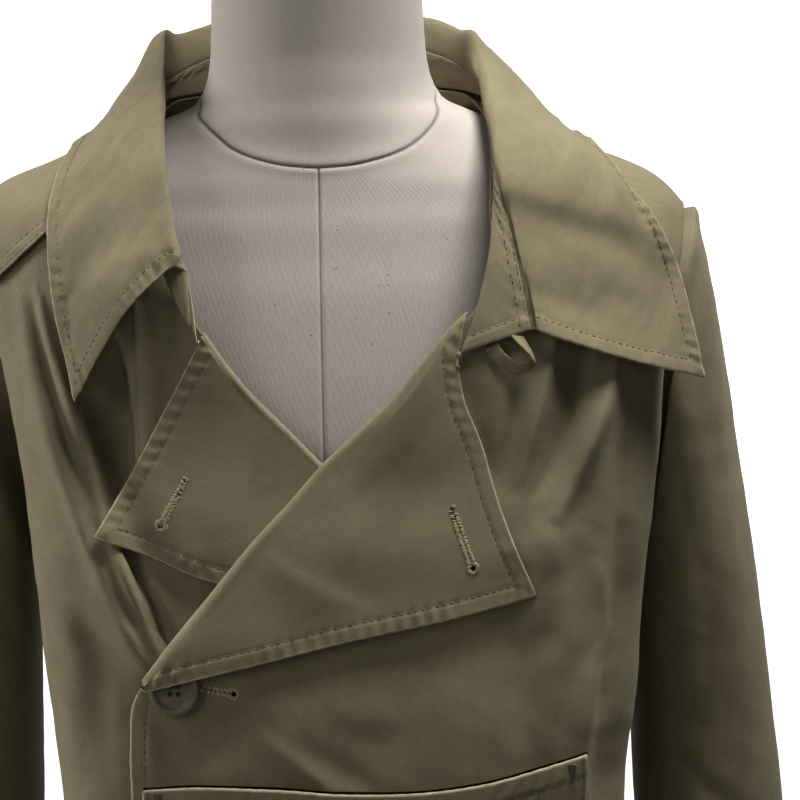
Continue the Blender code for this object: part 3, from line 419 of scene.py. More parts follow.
# Soft folds of the front, each a ridge (or a trough if its height is below 0) along a line.
# Columns: x1, z1, x2, z2, height, width.
FRONT_FOLDS = [
    (-163, 1230, -101, 1083, 7.0, 11), (-143, 1232, -92, 1086, 6.0, 9), (-128, 1226, -90, 1096, -5.0, 9),
    (-150, 1120, -122, 900, 5.0, 14), (-118, 1050, -112, 840, 4.0, 14),
    (151, 1225, 112, 1130, 5.0, 22), (133, 1190, 149, 1000, -4.0, 10), (140, 1130, 141, 760, 5.0, 12),
    (-40, 1052, 30, 1005, 2.5, 16), (90, 1060, 60, 900, 3.0, 30), (-60, 900, -66, 420, 5.0, 32),
    (70, 800, 96, 420, 6.0, 36), (150, 840, 166, 420, 6.0, 26), (-160, 840, -172, 420, 6.0, 26),
]
BACK_FOLDS = [
    (-60, 1190, -92, 700, 6.0, 24), (66, 1180, 84, 640, 6.0, 26), (-120, 1230, -132, 900, 5.0, 20),
    (122, 1235, 128, 880, 5.0, 20), (4, 1120, -8, 520, -7.0, 26), (150, 1000, 150, 420, 6.0, 26),
    (-150, 960, -152, 420, 6.0, 26),
]
STITCH_PITCH = 4.0         # from one stitch to the next
STITCH_LONG = 2.9          # length of a stitch
STITCH_THICK = 0.6         # thickness of its thread
STITCH_INSET = 8.0         # the topstitching runs this far inside an edge
EDGE_BULGE = 0.42          # share of a cloth's wall that its raw edge is rounded out


def face_depth(table, x, z, ahead):
    """Depth of a body's front or back face at each place of the front view."""
    right, left, mid, front, back, front_n, back_n = section(table, z)
    half = np.where(x < 0, right, left)
    n = np.where(ahead, front_n, back_n)
    share = np.clip(np.abs(x) / half, 0, 1)
    return mid + np.where(ahead, front - mid, back - mid) * (1 - share**n) ** (1 / n)


def folds(table, x, z):
    """How far the soft folds of a face push it out at each place."""
    out = np.zeros(np.broadcast(x, z).shape)
    for x1, z1, x2, z2, height, width in table:
        along = np.array([x2 - x1, z2 - z1])
        length = math.hypot(*along)
        t = ((x - x1) * along[0] + (z - z1) * along[1]) / length**2
        off = np.abs((x - x1) * along[1] - (z - z1) * along[0]) / length
        fade = ease((t + 0.15) / 0.35) * ease((1.15 - t) / 0.35)
        out = out + height * fade * bell(off, width)
    return out


def flutes(x, y, z):
    """The hem's waves, as a shift out from the body's middle at each place."""
    turn = np.arctan2(x, -y)
    depth = FLUTE_DEPTH * ease((FLUTE_FROM - z) / (FLUTE_FROM - HEM))
    return depth * np.cos(FLUTES * turn + 0.9 * np.sin(turn) + 0.6)


def shaped(points):
    """Coat points with the soft folds and the hem's waves added."""
    x, y, z = points[..., 0], points[..., 1], points[..., 2]
    mid = section(COAT, z)[2]
    facing = np.clip(np.abs(y - mid) / 60, 0, 1)
    push = np.where(y < mid, -folds(FRONT_FOLDS, x, z), folds(BACK_FOLDS, x, z)) * ease(facing)
    reach = np.hypot(x, y) + 1e-9
    wave = flutes(x, y, z)
    return np.stack([x + wave * x / reach, y + push + wave * y / reach, z], -1)


def away_from_coat(points, clear):
    """Points moved out until each clears the coat's body surface."""
    points = np.array(points, float)

    def measure(p):
        right, left, mid, front, back, front_n, back_n = section(COAT, p[..., 2])
        ahead = p[..., 1] < mid
        n = np.where(ahead, front_n, back_n)
        half = np.where(p[..., 0] < 0, right, left)
        depth = np.where(ahead, mid - front, back - mid)
        return ((np.abs(p[..., 0]) / half) ** n + (np.abs(p[..., 1] - mid) / depth) ** n) ** (1 / n) - 1

    for _ in range(8):
        value = measure(points)
        slope = np.stack([(measure(points + d) - measure(points - d)) for d in np.eye(3) * 0.4], -1) / 0.8
        size = np.linalg.norm(slope, axis=-1) + 1e-9
        short = np.clip(clear - value / size, 0, 12)
        way = unit(slope * [0.2, 1.0, 0.2])
        gain = np.clip((way * slope).sum(-1) / size, 0.3, 1)
        points += (short / gain)[..., None] * way
    return points


def walked(grid, axis, back=False):
    """How far each point of a grid lies from its first (or last) row or column, along the grid."""
    if back:
        return np.flip(walked(np.flip(grid, axis), axis), axis)
    step = np.linalg.norm(np.diff(grid, axis=axis), axis=-1)
    zero = np.zeros_like(np.take(step, [0], axis=axis))
    return np.concatenate([zero, np.cumsum(step, axis=axis)], axis=axis)


def read_path(path, gone, at):
    """All of a path's numbers at distances along it."""
    return np.stack([np.interp(at, gone, path[:, k]) for k in range(path.shape[1])], -1)


def spaced(path, count):
    """Points an equal length apart along a path."""
    gone = walked(path, 0)
    return read_path(path, gone, np.linspace(0, gone[-1], count))


def armhole_turn(z):
    """The turn at which the front ends, at the armhole or the side seam."""
    z = np.asarray(z, float)
    rows = rows_of(ARMHOLE)
    upper = smooth_read(rows[:, 0], rows[:, 1], z)
    lower = SIDE_TURN + (HEM_TURN - SIDE_TURN) * ease((BREAK - z) / (BREAK - HEM))
    return np.where(z >= BREAK, upper, lower)


def normals(grid, closed=False):
    """Unit normals of a grid of points, toward the viewer of rows going down and columns going right."""
    down = np.gradient(grid, axis=0, edge_order=2)
    if closed:
        right = np.roll(grid, -1, axis=1) - np.roll(grid, 1, axis=1)
    else:
        right = np.gradient(grid, axis=1, edge_order=2)
    return unit(np.cross(down, right))


def draw_in(grid, rows=(0, 0), columns=(0, 0)):
    """A grid whose outer rows and columns are drawn in by so many millimetres."""
    grid = np.array(grid, float)

    def pull(edge, inner, by):
        return edge + np.broadcast_to(by, len(edge))[:, None] * unit(inner - edge)

    grid[0], grid[-1] = pull(grid[0], grid[1], rows[0]), pull(grid[-1], grid[-2], rows[1])
    first, last = pull(grid[:, 0], grid[:, 1], columns[0]), pull(grid[:, -1], grid[:, -2], columns[1])
    grid[:, 0], grid[:, -1] = first, last
    return grid


def refined(grid, axis, at, whole=None, closed=False):
    """A grid read at new places along one axis, on smooth curves through its points.

    The places are in millimetres of a mean length, which is their last one unless it is given.
    """
    grid = np.moveaxis(np.asarray(grid, float), axis, 0)
    if closed:
        grid = np.concatenate([grid[-2:], grid, grid[:3]])
    h = np.linalg.norm(np.diff(grid, axis=0), axis=-1).mean(axis=1)
    keys = np.concatenate([[0], np.cumsum(h)])
    if closed:
        keys -= keys[2]
    at = at * keys[-3 if closed else -1] / (whole or at[-1])
    slope = np.diff(grid, axis=0) / h[:, None, None]
    a, b = h[:-1, None, None], h[1:, None, None]
    inner = (b * slope[:-1] + a * slope[1:]) / (a + b)
    slopes = np.concatenate([slope[:1], inner, slope[-1:]])
    at, i = row_before(keys, at)
    t = ((at - keys[i]) / h[i])[:, None, None]
    return np.moveaxis(between(grid, slopes, h[i][:, None, None], i, t), 0, axis)


def mean_length(grid, axis, closed=False):
    """Mean length of a grid along one axis."""
    grid = np.moveaxis(np.asarray(grid, float), axis, 0)
    if closed:
        grid = np.concatenate([grid, grid[:1]])
    return np.linalg.norm(np.diff(grid, axis=0), axis=-1).mean(axis=1).sum()


def places(length, near, far=None, rate=0.0, keep=(None, None)):
    """Places from 0 to a length, so many millimetres apart.

    They stay near that for keep[0] from the first end and keep[1] from the last, and beyond it they
    spread by the rate until they are far apart. An end without a keep isn't counted.
    """
    fine = np.linspace(0, length, 3000)
    gaps = [gap - kept for gap, kept in zip((fine, length - fine), keep) if kept is not None] or [0 * fine]
    density = 1 / np.clip(near + rate * np.min(gaps, axis=0), near, far or near)
    count = np.concatenate([[0], np.cumsum((density[1:] + density[:-1]) / 2 * np.diff(fine))])
    return np.interp(np.linspace(0, count[-1], int(math.ceil(count[-1])) + 1), count, fine)


def nearest_on(points, path):
    """How far each point lies from a path, the step of it that is nearest, and the share of that step."""
    best, step, share = np.full(len(points), 1e9), np.zeros(len(points), int), np.zeros(len(points))
    for k, way in enumerate(np.diff(path, axis=0)):
        t = np.clip(((points - path[k]) @ way) / (way @ way + 1e-12), 0, 1)
        gap = np.linalg.norm(points - path[k] - t[:, None] * way, axis=-1)
        nearer = gap < best
        best[nearer], step[nearer], share[nearer] = gap[nearer], k, t[nearer]
    return best, step, share


def creases(across, down, lines):
    """Height of soft ridges (and troughs, below 0) drawn over a cloth, each by its own line and size.

    A line is three (across, down) points of a curve, its height and width, and its lean: how much
    steeper one flank is than the other.
    """
    out = np.zeros(np.broadcast(across, down).shape)
    t = np.linspace(0, 1, 13)[:, None]
    for *flat, height, width, lean in lines:
        start, mid, end = np.reshape(flat, (3, 2)).astype(float)
        bend = 2 * mid - (start + end) / 2
        path = start * (1 - t) ** 2 + 2 * bend * t * (1 - t) + end * t * t
        low, high = path.min(axis=0) - 3.2 * width - 6, path.max(axis=0) + 3.2 * width + 6
        near = (across > low[0]) & (across < high[0]) & (down > low[1]) & (down < high[1])
        if not near.any():
            continue
        at = np.stack([across[near], down[near]], -1)
        gap, step, share = nearest_on(at, path)
        way = np.diff(path, axis=0)[step]
        off = at - path[step] - share[:, None] * way
        side = np.sign(off[:, 0] * way[:, 1] - off[:, 1] * way[:, 0])
        taper = np.sin(np.pi * np.clip(0.06 + 0.88 * (step + share) / (len(path) - 1), 0, 1)) ** 0.7
        out[near] += height * taper * bell(gap, width * (0.65 + 0.45 * taper) * (1 + lean * side))
    return out


def wander(seed, length):
    """A smooth random curve that swings between -1 and 1 about once in a length."""
    steps = np.random.default_rng(seed).uniform(-1, 1, 400)

    def read(at):
        at = np.abs(np.asarray(at, float)) / length % 398
        i = at.astype(int)
        return steps[i] + (steps[i + 1] - steps[i]) * ease(at - i)

    return read


def hemmed(gap, along, seed, inset=STITCH_INSET, plump=0.3, pucker=0.5, pitch=9.5):
    """The relief of a faced, topstitched edge: its plump band, sunk stitch row and uneven puckers."""
    sway, size = wander(seed, 2.7 * pitch), wander(seed + 1, 4.3 * pitch)
    band = 1 - ease((gap - inset + 2.0) / 3.0)
    row = bell(gap - inset, 1.2)
    phase = (along + 0.35 * gap) / pitch * 2 * math.pi + 3.0 * sway(along)
    near = bell(gap - 0.6 * inset, 0.55 * inset)
    swell = np.clip(0.62 + 0.55 * size(along), 0.12, 1.2)
    return plump * band - 0.28 * row + pucker * near * np.sin(phase) * swell


def beside(grid, normal, edge, inset):
    """A path on a grid, so many millimetres inside one edge, with the grid's normals along it."""
    axis, last = {"top": (0, False), "foot": (0, True), "first": (1, False), "last": (1, True)}[edge]
    side = np.moveaxis(np.concatenate([grid, normal], -1), axis, 0)
    side = side[::-1] if last else side
    gap = walked(side[..., :3], 0)
    return np.array([read_path(side[:, k], gap[:, k], inset) for k in range(side.shape[1])])


def part_of(path, start, stop):
    """The part of a path between two distances along it; a stop of 0 or less counts from its end."""
    gone = walked(path[:, :3], 0)
    stop = gone[-1] + stop if stop <= 0 else stop
    return read_path(path, gone, np.linspace(start, stop, max(2, int(stop - start))))


# One stitch at shares of its length: how high it arches and how thick it is there.
STITCH_RINGS = ((-0.5, 0.0, 0.30), (-0.3, 0.75, 1.0), (0.0, 1.0, 1.0), (0.3, 0.75, 1.0), (0.5, 0.0, 0.30))
STITCH_SIDES = 5
STITCH_SUNK = 0.12         # its ends are drawn this far into the cloth


def laid_thread(
    name, paths, seed, rides_with, finish=None,
    pitch=STITCH_PITCH, long=STITCH_LONG, thick=STITCH_THICK, sunk=STITCH_SUNK,
):
    """Sewn stitches on a sheet along paths of points with normals: each an arched length of thread."""
    points, quads = [], []
    chance = np.random.default_rng(seed)
    sides = np.arange(STITCH_SIDES)
    turn = sides * 2 * math.pi / STITCH_SIDES
    for path in paths:
        gone = walked(path[:, :3], 0)
        count = int(gone[-1] / pitch)
        if count < 1:
            continue
        middle = (np.arange(count) + 0.5) * gone[-1] / count + chance.uniform(-0.2, 0.2, count)
        for at in middle:
            ends = read_path(path, gone, at + long * np.array([-0.5, 0, 0.5]))
            (a, m, b), up = ends[:, :3], ends[1, 3:]
            way = unit(b - a)
            up = unit(up - way * (up @ way))
            out = np.cross(way, up)
            way = way + out * chance.uniform(-0.07, 0.07)
            first = len(points) + sides
            for share, rise, fat in STITCH_RINGS:
                centre = m + way * share * long + up * (thick * (0.42 * rise - 0.25) - sunk * (1 - rise))
                spoke = np.cos(turn)[:, None] * out + np.sin(turn)[:, None] * up
                points.extend(centre + thick / 2 * fat * spoke)
            after = np.roll(first, -1)
            for ring in range(0, (len(STITCH_RINGS) - 1) * STITCH_SIDES, STITCH_SIDES):
                over = ring + STITCH_SIDES
                quads += np.stack([first + ring, after + ring, after + over, first + over], -1).tolist()
            quads += [first.tolist(), (first + over)[::-1].tolist()]
    made = piece(name, points, quads, finish or thread, "cotton_drill")
    made.parent = rides_with


def faced_out(mesh):
    """Turns a closed mesh's faces outward."""
    bm = bmesh.new()
    bm.from_mesh(mesh)
    bmesh.ops.recalc_face_normals(bm, faces=bm.faces)
    bm.to_mesh(mesh)
    bm.free()


def cloth_piece(name, grid, side, wall, slot_nodes, gap, closed=False, facing=None, shift=(0, 0)):
    """A cloth wall from a fine grid of its outer face, with rounded raw edges.

    gap is each point's distance from its nearest sewn edge, and shift is where on the bolt the cloth
    was cut; the cloth's finish reads both.
    """
    grid = np.asarray(grid, float)
    rows, columns = grid.shape[:2]
    inner = grid - side * wall * (normals(grid, closed) if facing is None else facing)
    points = [grid.reshape(-1, 3), inner.reshape(-1, 3)]
    depth = rows * columns
    spans = columns if closed else columns - 1
    i, j = np.meshgrid(np.arange(rows - 1), np.arange(spans), indexing="ij")
    k = (j + 1) % columns
    a, b, c, d = i * columns + j, i * columns + k, (i + 1) * columns + k, (i + 1) * columns + j
    faces = [np.stack([a, b, c, d], -1).reshape(-1, 4), np.stack([d, c, b, a], -1).reshape(-1, 4) + depth]
    if side < 0:
        faces = [f[:, ::-1] for f in faces]
    across, down = np.arange(columns), np.arange(rows) * columns
    foot = (rows - 1) * columns + across
    borders = [(across, across + columns), (foot, foot - columns)]
    if not closed:
        borders += [(down, down + 1), (down + columns - 1, down + columns - 2)]
    flat = np.concatenate(points)
    extra, owners = [], []
    count = 2 * depth
    for edge, within in borders:
        away = unit(flat[edge] - flat[within])
        extra.append((flat[edge] + flat[edge + depth]) / 2 + EDGE_BULGE * wall * away)
        owners.append(edge)
        mid = count + np.arange(len(edge))
        count += len(edge)
        p = np.arange(len(edge) if closed else len(edge) - 1)
        q = (p + 1) % len(edge)
        faces.append(np.stack([edge[p], mid[p], mid[q], edge[q]], -1))
        faces.append(np.stack([mid[p], edge[p] + depth, edge[q] + depth, mid[q]], -1))
    points = np.concatenate([flat, *extra])
    made = piece(name, points, np.concatenate(faces), cotton, "cotton_drill", slot_nodes)
    faced_out(made.data)
    lay = np.stack([walked(grid, 1), walked(grid, 0), np.zeros((rows, columns))], -1)
    lay = lay.reshape(-1, 3) + [*shift, 0]
    owner = np.concatenate([np.arange(depth), np.arange(depth), *owners])
    kept_on(made, "cloth", lay[owner])
    kept_on(made, "edge", np.asarray(gap).ravel()[owner])
    return made


# Cotton drill, washed: matt, a warm olive khaki, with slubbed yarns in a steep twill, paler at its sewn
# edges, partly from wear where edges and puckers rub and partly as a painted highlight where the rounded edge
# catches the light. The twill's real pitch is 0.6 mm, too fine to show, so it is drawn at 1.5 mm.
cotton, tree, shader = finish_of(
    "cotton_drill_khaki", Roughness=0.9, Specular_IOR_Level=0.22, Sheen_Weight=0.10, Sheen_Roughness=0.55,
    Sheen_Tint=linear("#d8ccae"),
)
cloth_mm = node(tree, "Attribute", attribute_name="cloth").outputs["Vector"]
edge_gap = node(tree, "Attribute", attribute_name="edge").outputs["Fac"]
uneven = {"Scale": 0.028, "Detail": 4.0, "Roughness": 0.62}
cloud = node(tree, "TexNoise", {"Vector": cloth_mm}, uneven).outputs["Fac"]
uneven = {"Scale": 0.16, "Detail": 4.0, "Roughness": 0.7}
mottle = node(tree, "TexNoise", {"Vector": cloth_mm}, uneven).outputs["Fac"]
steep = {"Rotation": (0, 0, math.radians(24)), "Scale": (1.0, 0.2, 1.0)}
grain = node(tree, "Mapping", {"Vector": cloth_mm}, steep).outputs[0]
uneven = {"Scale": 0.8, "Detail": 3.0, "Roughness": 0.7}
slub = node(tree, "TexNoise", {"Vector": grain}, uneven).outputs["Fac"]
uneven = {"Scale": 0.9, "Detail": 2.0, "Roughness": 0.8}
heather = node(tree, "TexNoise", {"Vector": cloth_mm}, uneven).outputs["Fac"]
twill = node(
    tree, "TexWave", {"Vector": grain},
    {"Scale": 0.21, "Distortion": 1.6, "Detail": 2.0, "Detail Scale": 1.2, "Detail Roughness": 0.6},
    bands_direction="X",
).outputs["Fac"]
broad = node(tree, "MapRange", {"Value": cloud}, {"From Min": 0.32, "From Max": 0.68}).outputs[0]
khakis = {MIX_FROM: linear("#6a614a"), MIX_TO: linear("#746b52")}
tone = node(tree, "Mix", {MIX_SHARE: broad}, khakis, data_type="RGBA").outputs[MIX_OUT]
for source, spread in ((slub, 0.06), (heather, 0.10), (mottle, 0.07)):
    span = {"From Min": 0.3, "From Max": 0.7, "To Min": 1 - spread, "To Max": 1 + spread}
    fleck = node(tree, "MapRange", {"Value": source}, span).outputs[0]
    both = {MIX_FROM: tone, MIX_TO: fleck}
    product = node(tree, "Mix", both, {MIX_SHARE: 1.0}, data_type="RGBA", blend_type="MULTIPLY")
    tone = product.outputs[MIX_OUT]
# Paler at the sewn edges, blotchy by the mottle: partly rubbed wear, partly a painted highlight of the rim
# catching the light.
edge_wear_and_highlight = node(tree, "MapRange", {"Value": edge_gap}, {"To Min": 0.75, "To Max": 0.0})
patchy = node(tree, "MapRange", {"Value": mottle}, {"From Min": 0.35, "From Max": 0.65, "To Min": 0.45})
edge_wear_and_highlight = node(tree, "Math", {0: edge_wear_and_highlight.outputs[0], 1: patchy.outputs[0]}, operation="MULTIPLY").outputs[0]
rubbed_and_highlit, pale = {MIX_SHARE: edge_wear_and_highlight, MIX_FROM: tone}, {MIX_TO: linear("#b0a586")}
tone = node(tree, "Mix", rubbed_and_highlit, pale, data_type="RGBA").outputs[MIX_OUT]
tree.links.new(tone, shader.inputs["Base Color"])
weave = node(tree, "Math", {0: twill, 1: heather}, operation="ADD").outputs[0]
bump = node(tree, "Bump", {"Height": weave}, {"Strength": 0.09, "Distance": 0.0003})
tree.links.new(bump.outputs[0], shader.inputs["Normal"])

# Core-spun polyester sewing thread, a shade darker than the cloth, with a slight gloss.
thread = finish_of("sewing_thread", Roughness=0.6, Base_Color=linear("#5a5140"), Specular_IOR_Level=0.35)[0]

# The same thread worked close round a buttonhole, where rubbing has left it pale and matt.
worn_thread = finish_of(
    "buttonhole_thread", Roughness=0.8, Base_Color=linear("#968b6d"), Specular_IOR_Level=0.2
)[0]


# --- Front panels --------------------------------------------------------------------------
# Two panels of drill cut in one with their facings, from the forward shoulder seam to the hem.
# The left laps over the right below the break; both edges are topstitched 8 mm in.

# Each front panel's rows: where the row leaves the neckline, the lapel's fold or the front
# edge, as distance across from the middle, and the height at which it meets armhole or side seam.
# Columns: across, inner_z, outer_z.
LEFT_FRONT = [
    (97, 1362, 1278), (95.5, 1340, 1262), (94, 1316, 1243), (91.5, 1293, 1223), (82, 1271, 1204),
    (64, 1251, 1186), (42, 1226, 1168), (20.5, 1207, 1152), (-1, 1188, 1136), (-23, 1164, 1120),
    (-47, 1139, 1106), (-72, 1110, 1092), (-97.5, 1079, 1079), (-104, 1066, 1066),
]
RIGHT_FRONT = [
    (97, 1362, 1278), (95, 1341, 1262), (91, 1318, 1243), (85, 1296, 1223), (76, 1275, 1204),
    (62, 1254, 1186), (42, 1230, 1168), (20, 1208, 1152), (-1, 1187, 1136), (-23, 1163, 1120),
    (-46, 1138, 1106), (-69, 1110, 1092), (-94, 1079, 1079), (-104, 1066, 1066),
]
EDGE_ACROSS = 108.0        # the front edges run down this far past the middle
# Heights of the panels' rows below the break.
SKIRT_LEVELS = (1040, 1012, 975, 925, 865, 795, 720, 640, 555, 470, 400, HEM)
FRONT_COUNT = 20           # points along each row
FOLD_DRAWN = 4.0           # the panel stops this far inside the lapel's fold
FOLD_STARTS = {1: 3, -1: 6}  # the first row of each front that ends at its lapel's fold
# The right front lies under the left: how far in, and where it sinks.
UNDERLAP = 8.5
UNDERLAP_FROM, UNDERLAP_TO = -165.0, -116.0
UNDERLAP_FADE = (1290.0, 1215.0)
SEAM = 0.3                 # the gap left at each seam
SEEN_STEP = 2.7            # spacing of the panels' points above the pocket
PLAIN_STEP = 9.0           # down the skirt
EDGE_STEP = 1.3            # and next to a sewn edge
HEM_DEEP = 26.0            # the hem is turned up and stitched this far above its fold
ARMHOLE_ROLL = 3.6         # the front rolls up this far just inside its armhole seam
# Creases. Columns: x1, z1, x2, z2, x3, z3, height, width, lean.
RIGHT_CREASES = [
    (-166, 1279, -149, 1209, -127, 1143, 5.2, 4.6, 0.4), (-132, 1161, -117, 1124, -99, 1083, 4.6, 4.6, 0.4),
    (-155, 1279, -139, 1225, -121, 1172, 6, 4.4, 0.45), (-120, 1166, -106, 1129, -90, 1089, 5.4, 4.4, 0.5),
    (-159, 1274, -145, 1217, -128, 1166, -3.5, 4, 0), (-127, 1158, -113, 1121, -97, 1087, -3, 3.6, 0),
    (-114, 1252, -111, 1203, -107, 1154, -11, 9.5, 0.5), (-116, 1262, -112, 1232, -110, 1204, -4, 11, 0.3),
    (-112, 1161, -99, 1124, -85, 1089, -8, 4.2, 0.2), (-102, 1272, -101, 1219, -101, 1165, 6, 3.6, -0.5),
    (-80, 1270, -86, 1232, -93, 1188, -7, 11, -0.3), (-169, 1189, -154, 1141, -143, 1088, -1.6, 7, 0),
    (-160, 1162, -145, 1109, -135, 1045, 1.8, 8, 0.2), (-133, 1109, -123, 1066, -120, 1022, -1.6, 7, 0),
    (-117, 1071, -117, 1044, -115, 1017, 1.4, 6, 0), (-144, 1067, -142, 1034, -144, 1001, 1.2, 6, 0),
    (-132, 1010, -138, 860, -134, 700, 2.2, 13, 0.2), (-80, 960, -96, 760, -92, 560, -2, 15, 0.1),
    (-162, 900, -172, 700, -180, 520, 2, 12, -0.2), (-40, 760, -58, 560, -60, 380, 2.4, 17, 0.3),
    (-128, 640, -136, 500, -140, 360, -2.2, 13, 0.2), (-10, 900, -22, 820, -18, 700, 1.4, 11, 0),
]
LEFT_CREASES = [
    (164, 1247, 147, 1202, 125, 1156, 7, 5.2, -0.2), (128, 1163, 119, 1129, 111, 1092, 2.6, 8.5, 0.1),
    (146, 1252, 137, 1213, 119, 1172, -8, 7.5, 0.4), (121, 1181, 114, 1160, 107, 1142, -2.2, 6, 0),
    (128, 1259, 119, 1219, 106, 1177, 5, 5.5, 0.2), (107, 1224, 103, 1198, 98, 1171, -2.6, 5, 0),
    (101, 1230, 97, 1203, 93, 1182, 1.6, 5, 0), (82, 1230, 85, 1204, 95, 1172, -3, 8, 0),
    (172, 1217, 167, 1180, 161, 1133, -3.6, 7, 0), (152, 1202, 147, 1165, 142, 1123, 1.2, 8, 0),
    (147, 1128, 153, 1095, 145, 1078, 2.2, 6, -0.4), (144, 1078, 139, 1049, 138, 1005, 2.6, 6.5, -0.4),
    (163, 1143, 158, 1091, 152, 1048, -7, 8, 0), (152, 1059, 148, 1021, 146, 983, -6, 8, 0),
    (124, 1144, 126, 1102, 123, 1060, 1.6, 6, 0),
    (106, 1113, 103, 1071, 104, 1028, -1.6, 9, 0), (117, 1087, 117, 1060, 116, 1033, 1.2, 6, 0),
    (-36, 1047, -17, 1030, 2, 1016, 1.8, 4.5, 0.4), (-16, 1042, 5, 1027, 22, 1016, -1.6, 6, 0),
    (-48, 1070, -16, 1059, 27, 1060, 0.9, 9, 0), (1, 1084, 49, 1086, 103, 1092, -1.8, 14, 0),
    (11, 1044, 23, 1052, 35, 1043, 1.2, 9, 0), (-76, 1027, -59, 1040, -43, 1048, -0.9, 8, 0),
    (-99, 1055, -97, 1033, -98, 1011, 1, 5, 0), (-104, 1000, -112, 880, -104, 760, 1.6, 11, 0.2),
    (152, 980, 158, 860, 166, 700, 2.2, 12, 0.2), (-52, 790, -62, 600, -66, 380, 2.8, 18, 0.25),
    (-96, 700, -94, 560, -100, 400, -1.8, 12, 0.1), (8, 800, 2, 620, 4, 420, -2.2, 18, 0),
    (62, 806, 88, 600, 100, 380, 3, 18, -0.2), (120, 800, 136, 620, 146, 420, -2.4, 14, 0.2),
    (170, 800, 186, 620, 192, 420, 2.4, 13, 0.2), (36, 700, 46, 560, 44, 430, 1.4, 10, 0.1),
    (-24, 560, -30, 470, -30, 380, 1.6, 10, 0),
]


def underlap(x, z):
    """How far the right front sinks under the left one."""
    across = ease((x - UNDERLAP_FROM) / (UNDERLAP_TO - UNDERLAP_FROM))
    down = ease((UNDERLAP_FADE[0] - z) / (UNDERLAP_FADE[0] - UNDERLAP_FADE[1]))
    return UNDERLAP * across * down


def front_row(side, across, inner_z, outer_z):
    """One row of a front panel, from its inner edge to the armhole or side seam."""
    t = np.linspace(0, 1, 90)
    z = inner_z + (outer_z - inner_z) * t
    right, left, mid, _, _, front_n, _ = section(COAT, z)
    near, far = (left, right) if side > 0 else (right, left)
    turned = near * math.sin(math.radians(EDGE_TURN)) ** (2 / front_n)
    last = float(armhole_turn(outer_z))
    end = turned[-1] + SIDE_RATE * (last - EDGE_TURN)
    place = across + (end - across) * t
    flat = np.minimum(np.abs(place) / np.where(place < 0, far, near), 1)
    turn = np.degrees(np.arcsin(flat ** (front_n / 2))) * np.sign(place)
    turn = np.where(place > turned, EDGE_TURN + (place - turned) / SIDE_RATE, turn)
    row = on_body(COAT, side * turn, z)
    if side < 0:
        row[:, 1] += underlap(row[:, 0], z) * (row[:, 1] < mid)
    return shaped(spaced(row, FRONT_COUNT))


def front_rows(side, table):
    """All rows of a front panel, from the shoulder seam down to the hem."""
    rows = [front_row(side, *row) for row in table]
    rows += [front_row(side, -EDGE_ACROSS, z, z) for z in SKIRT_LEVELS]
    return np.array(rows)


def tree_of(grid, halved=False):
    """A tree of a grid's faces, each halved across or left whole, for casting on."""
    rows, columns = grid.shape[:2]
    i, j = np.meshgrid(np.arange(rows - 1), np.arange(columns - 1), indexing="ij")
    a = i * columns + j
    faces = np.stack([a, a + 1, a + columns + 1, a + columns], -1).reshape(-1, 4)
    if halved:
        faces = faces[:, [0, 1, 2, 0, 2, 3]].reshape(-1, 3)
    return BVHTree.FromPolygons(grid.reshape(-1, 3).tolist(), faces.tolist())


def panel_reader(grid):
    """A function that stands points off a front panel, at places of the front view."""
    tree = tree_of(grid, halved=True)

    def stand(x, z, off):
        x, z, off = np.broadcast_arrays(np.asarray(x, float), np.asarray(z, float), np.asarray(off, float))
        out = []
        for px, pz, by in zip(x.ravel(), z.ravel(), off.ravel()):
            hit = tree.ray_cast(Vector((px, -999, pz)), Vector((0, 1, 0)))[0]
            if hit is None:
                hit = tree.find_nearest(Vector((px, float(face_depth(COAT, px, pz, True)), pz)))[0]
            out.append((px, hit.y - by, pz))
        return np.array(out).reshape(*x.shape, 3)

    return stand


def rumple(across, down, seed, size):
    """A smooth unevenness between -1 and 1 over a cloth, with lumps of about a size."""
    table = np.random.default_rng(seed).uniform(-1, 1, (96, 96))
    u, v = np.abs(across / size + 37.3), np.abs(down / size + 5.1)
    i, j = u.astype(int), v.astype(int)
    s, t = ease(u - i), ease(v - j)
    a, b = table[i % 96, j % 96], table[(i + 1) % 96, j % 96]
    c, d = table[i % 96, (j + 1) % 96], table[(i + 1) % 96, (j + 1) % 96]
    return (a * (1 - s) + b * s) * (1 - t) + (c * (1 - s) + d * s) * t


def worn_flat(x, z, seed):
    """The small unevenness of a washed and worn cloth, in millimetres."""
    broad, small = rumple(x, z, seed, 31.0), rumple(x + 0.5 * z, z, seed + 1, 11.0)
    return 0.55 * broad + 0.22 * small


def raised(grid, side, off):
    """A grid moved out of the cloth by a height at each of its points."""
    return grid + side * normals(grid) * off[..., None]


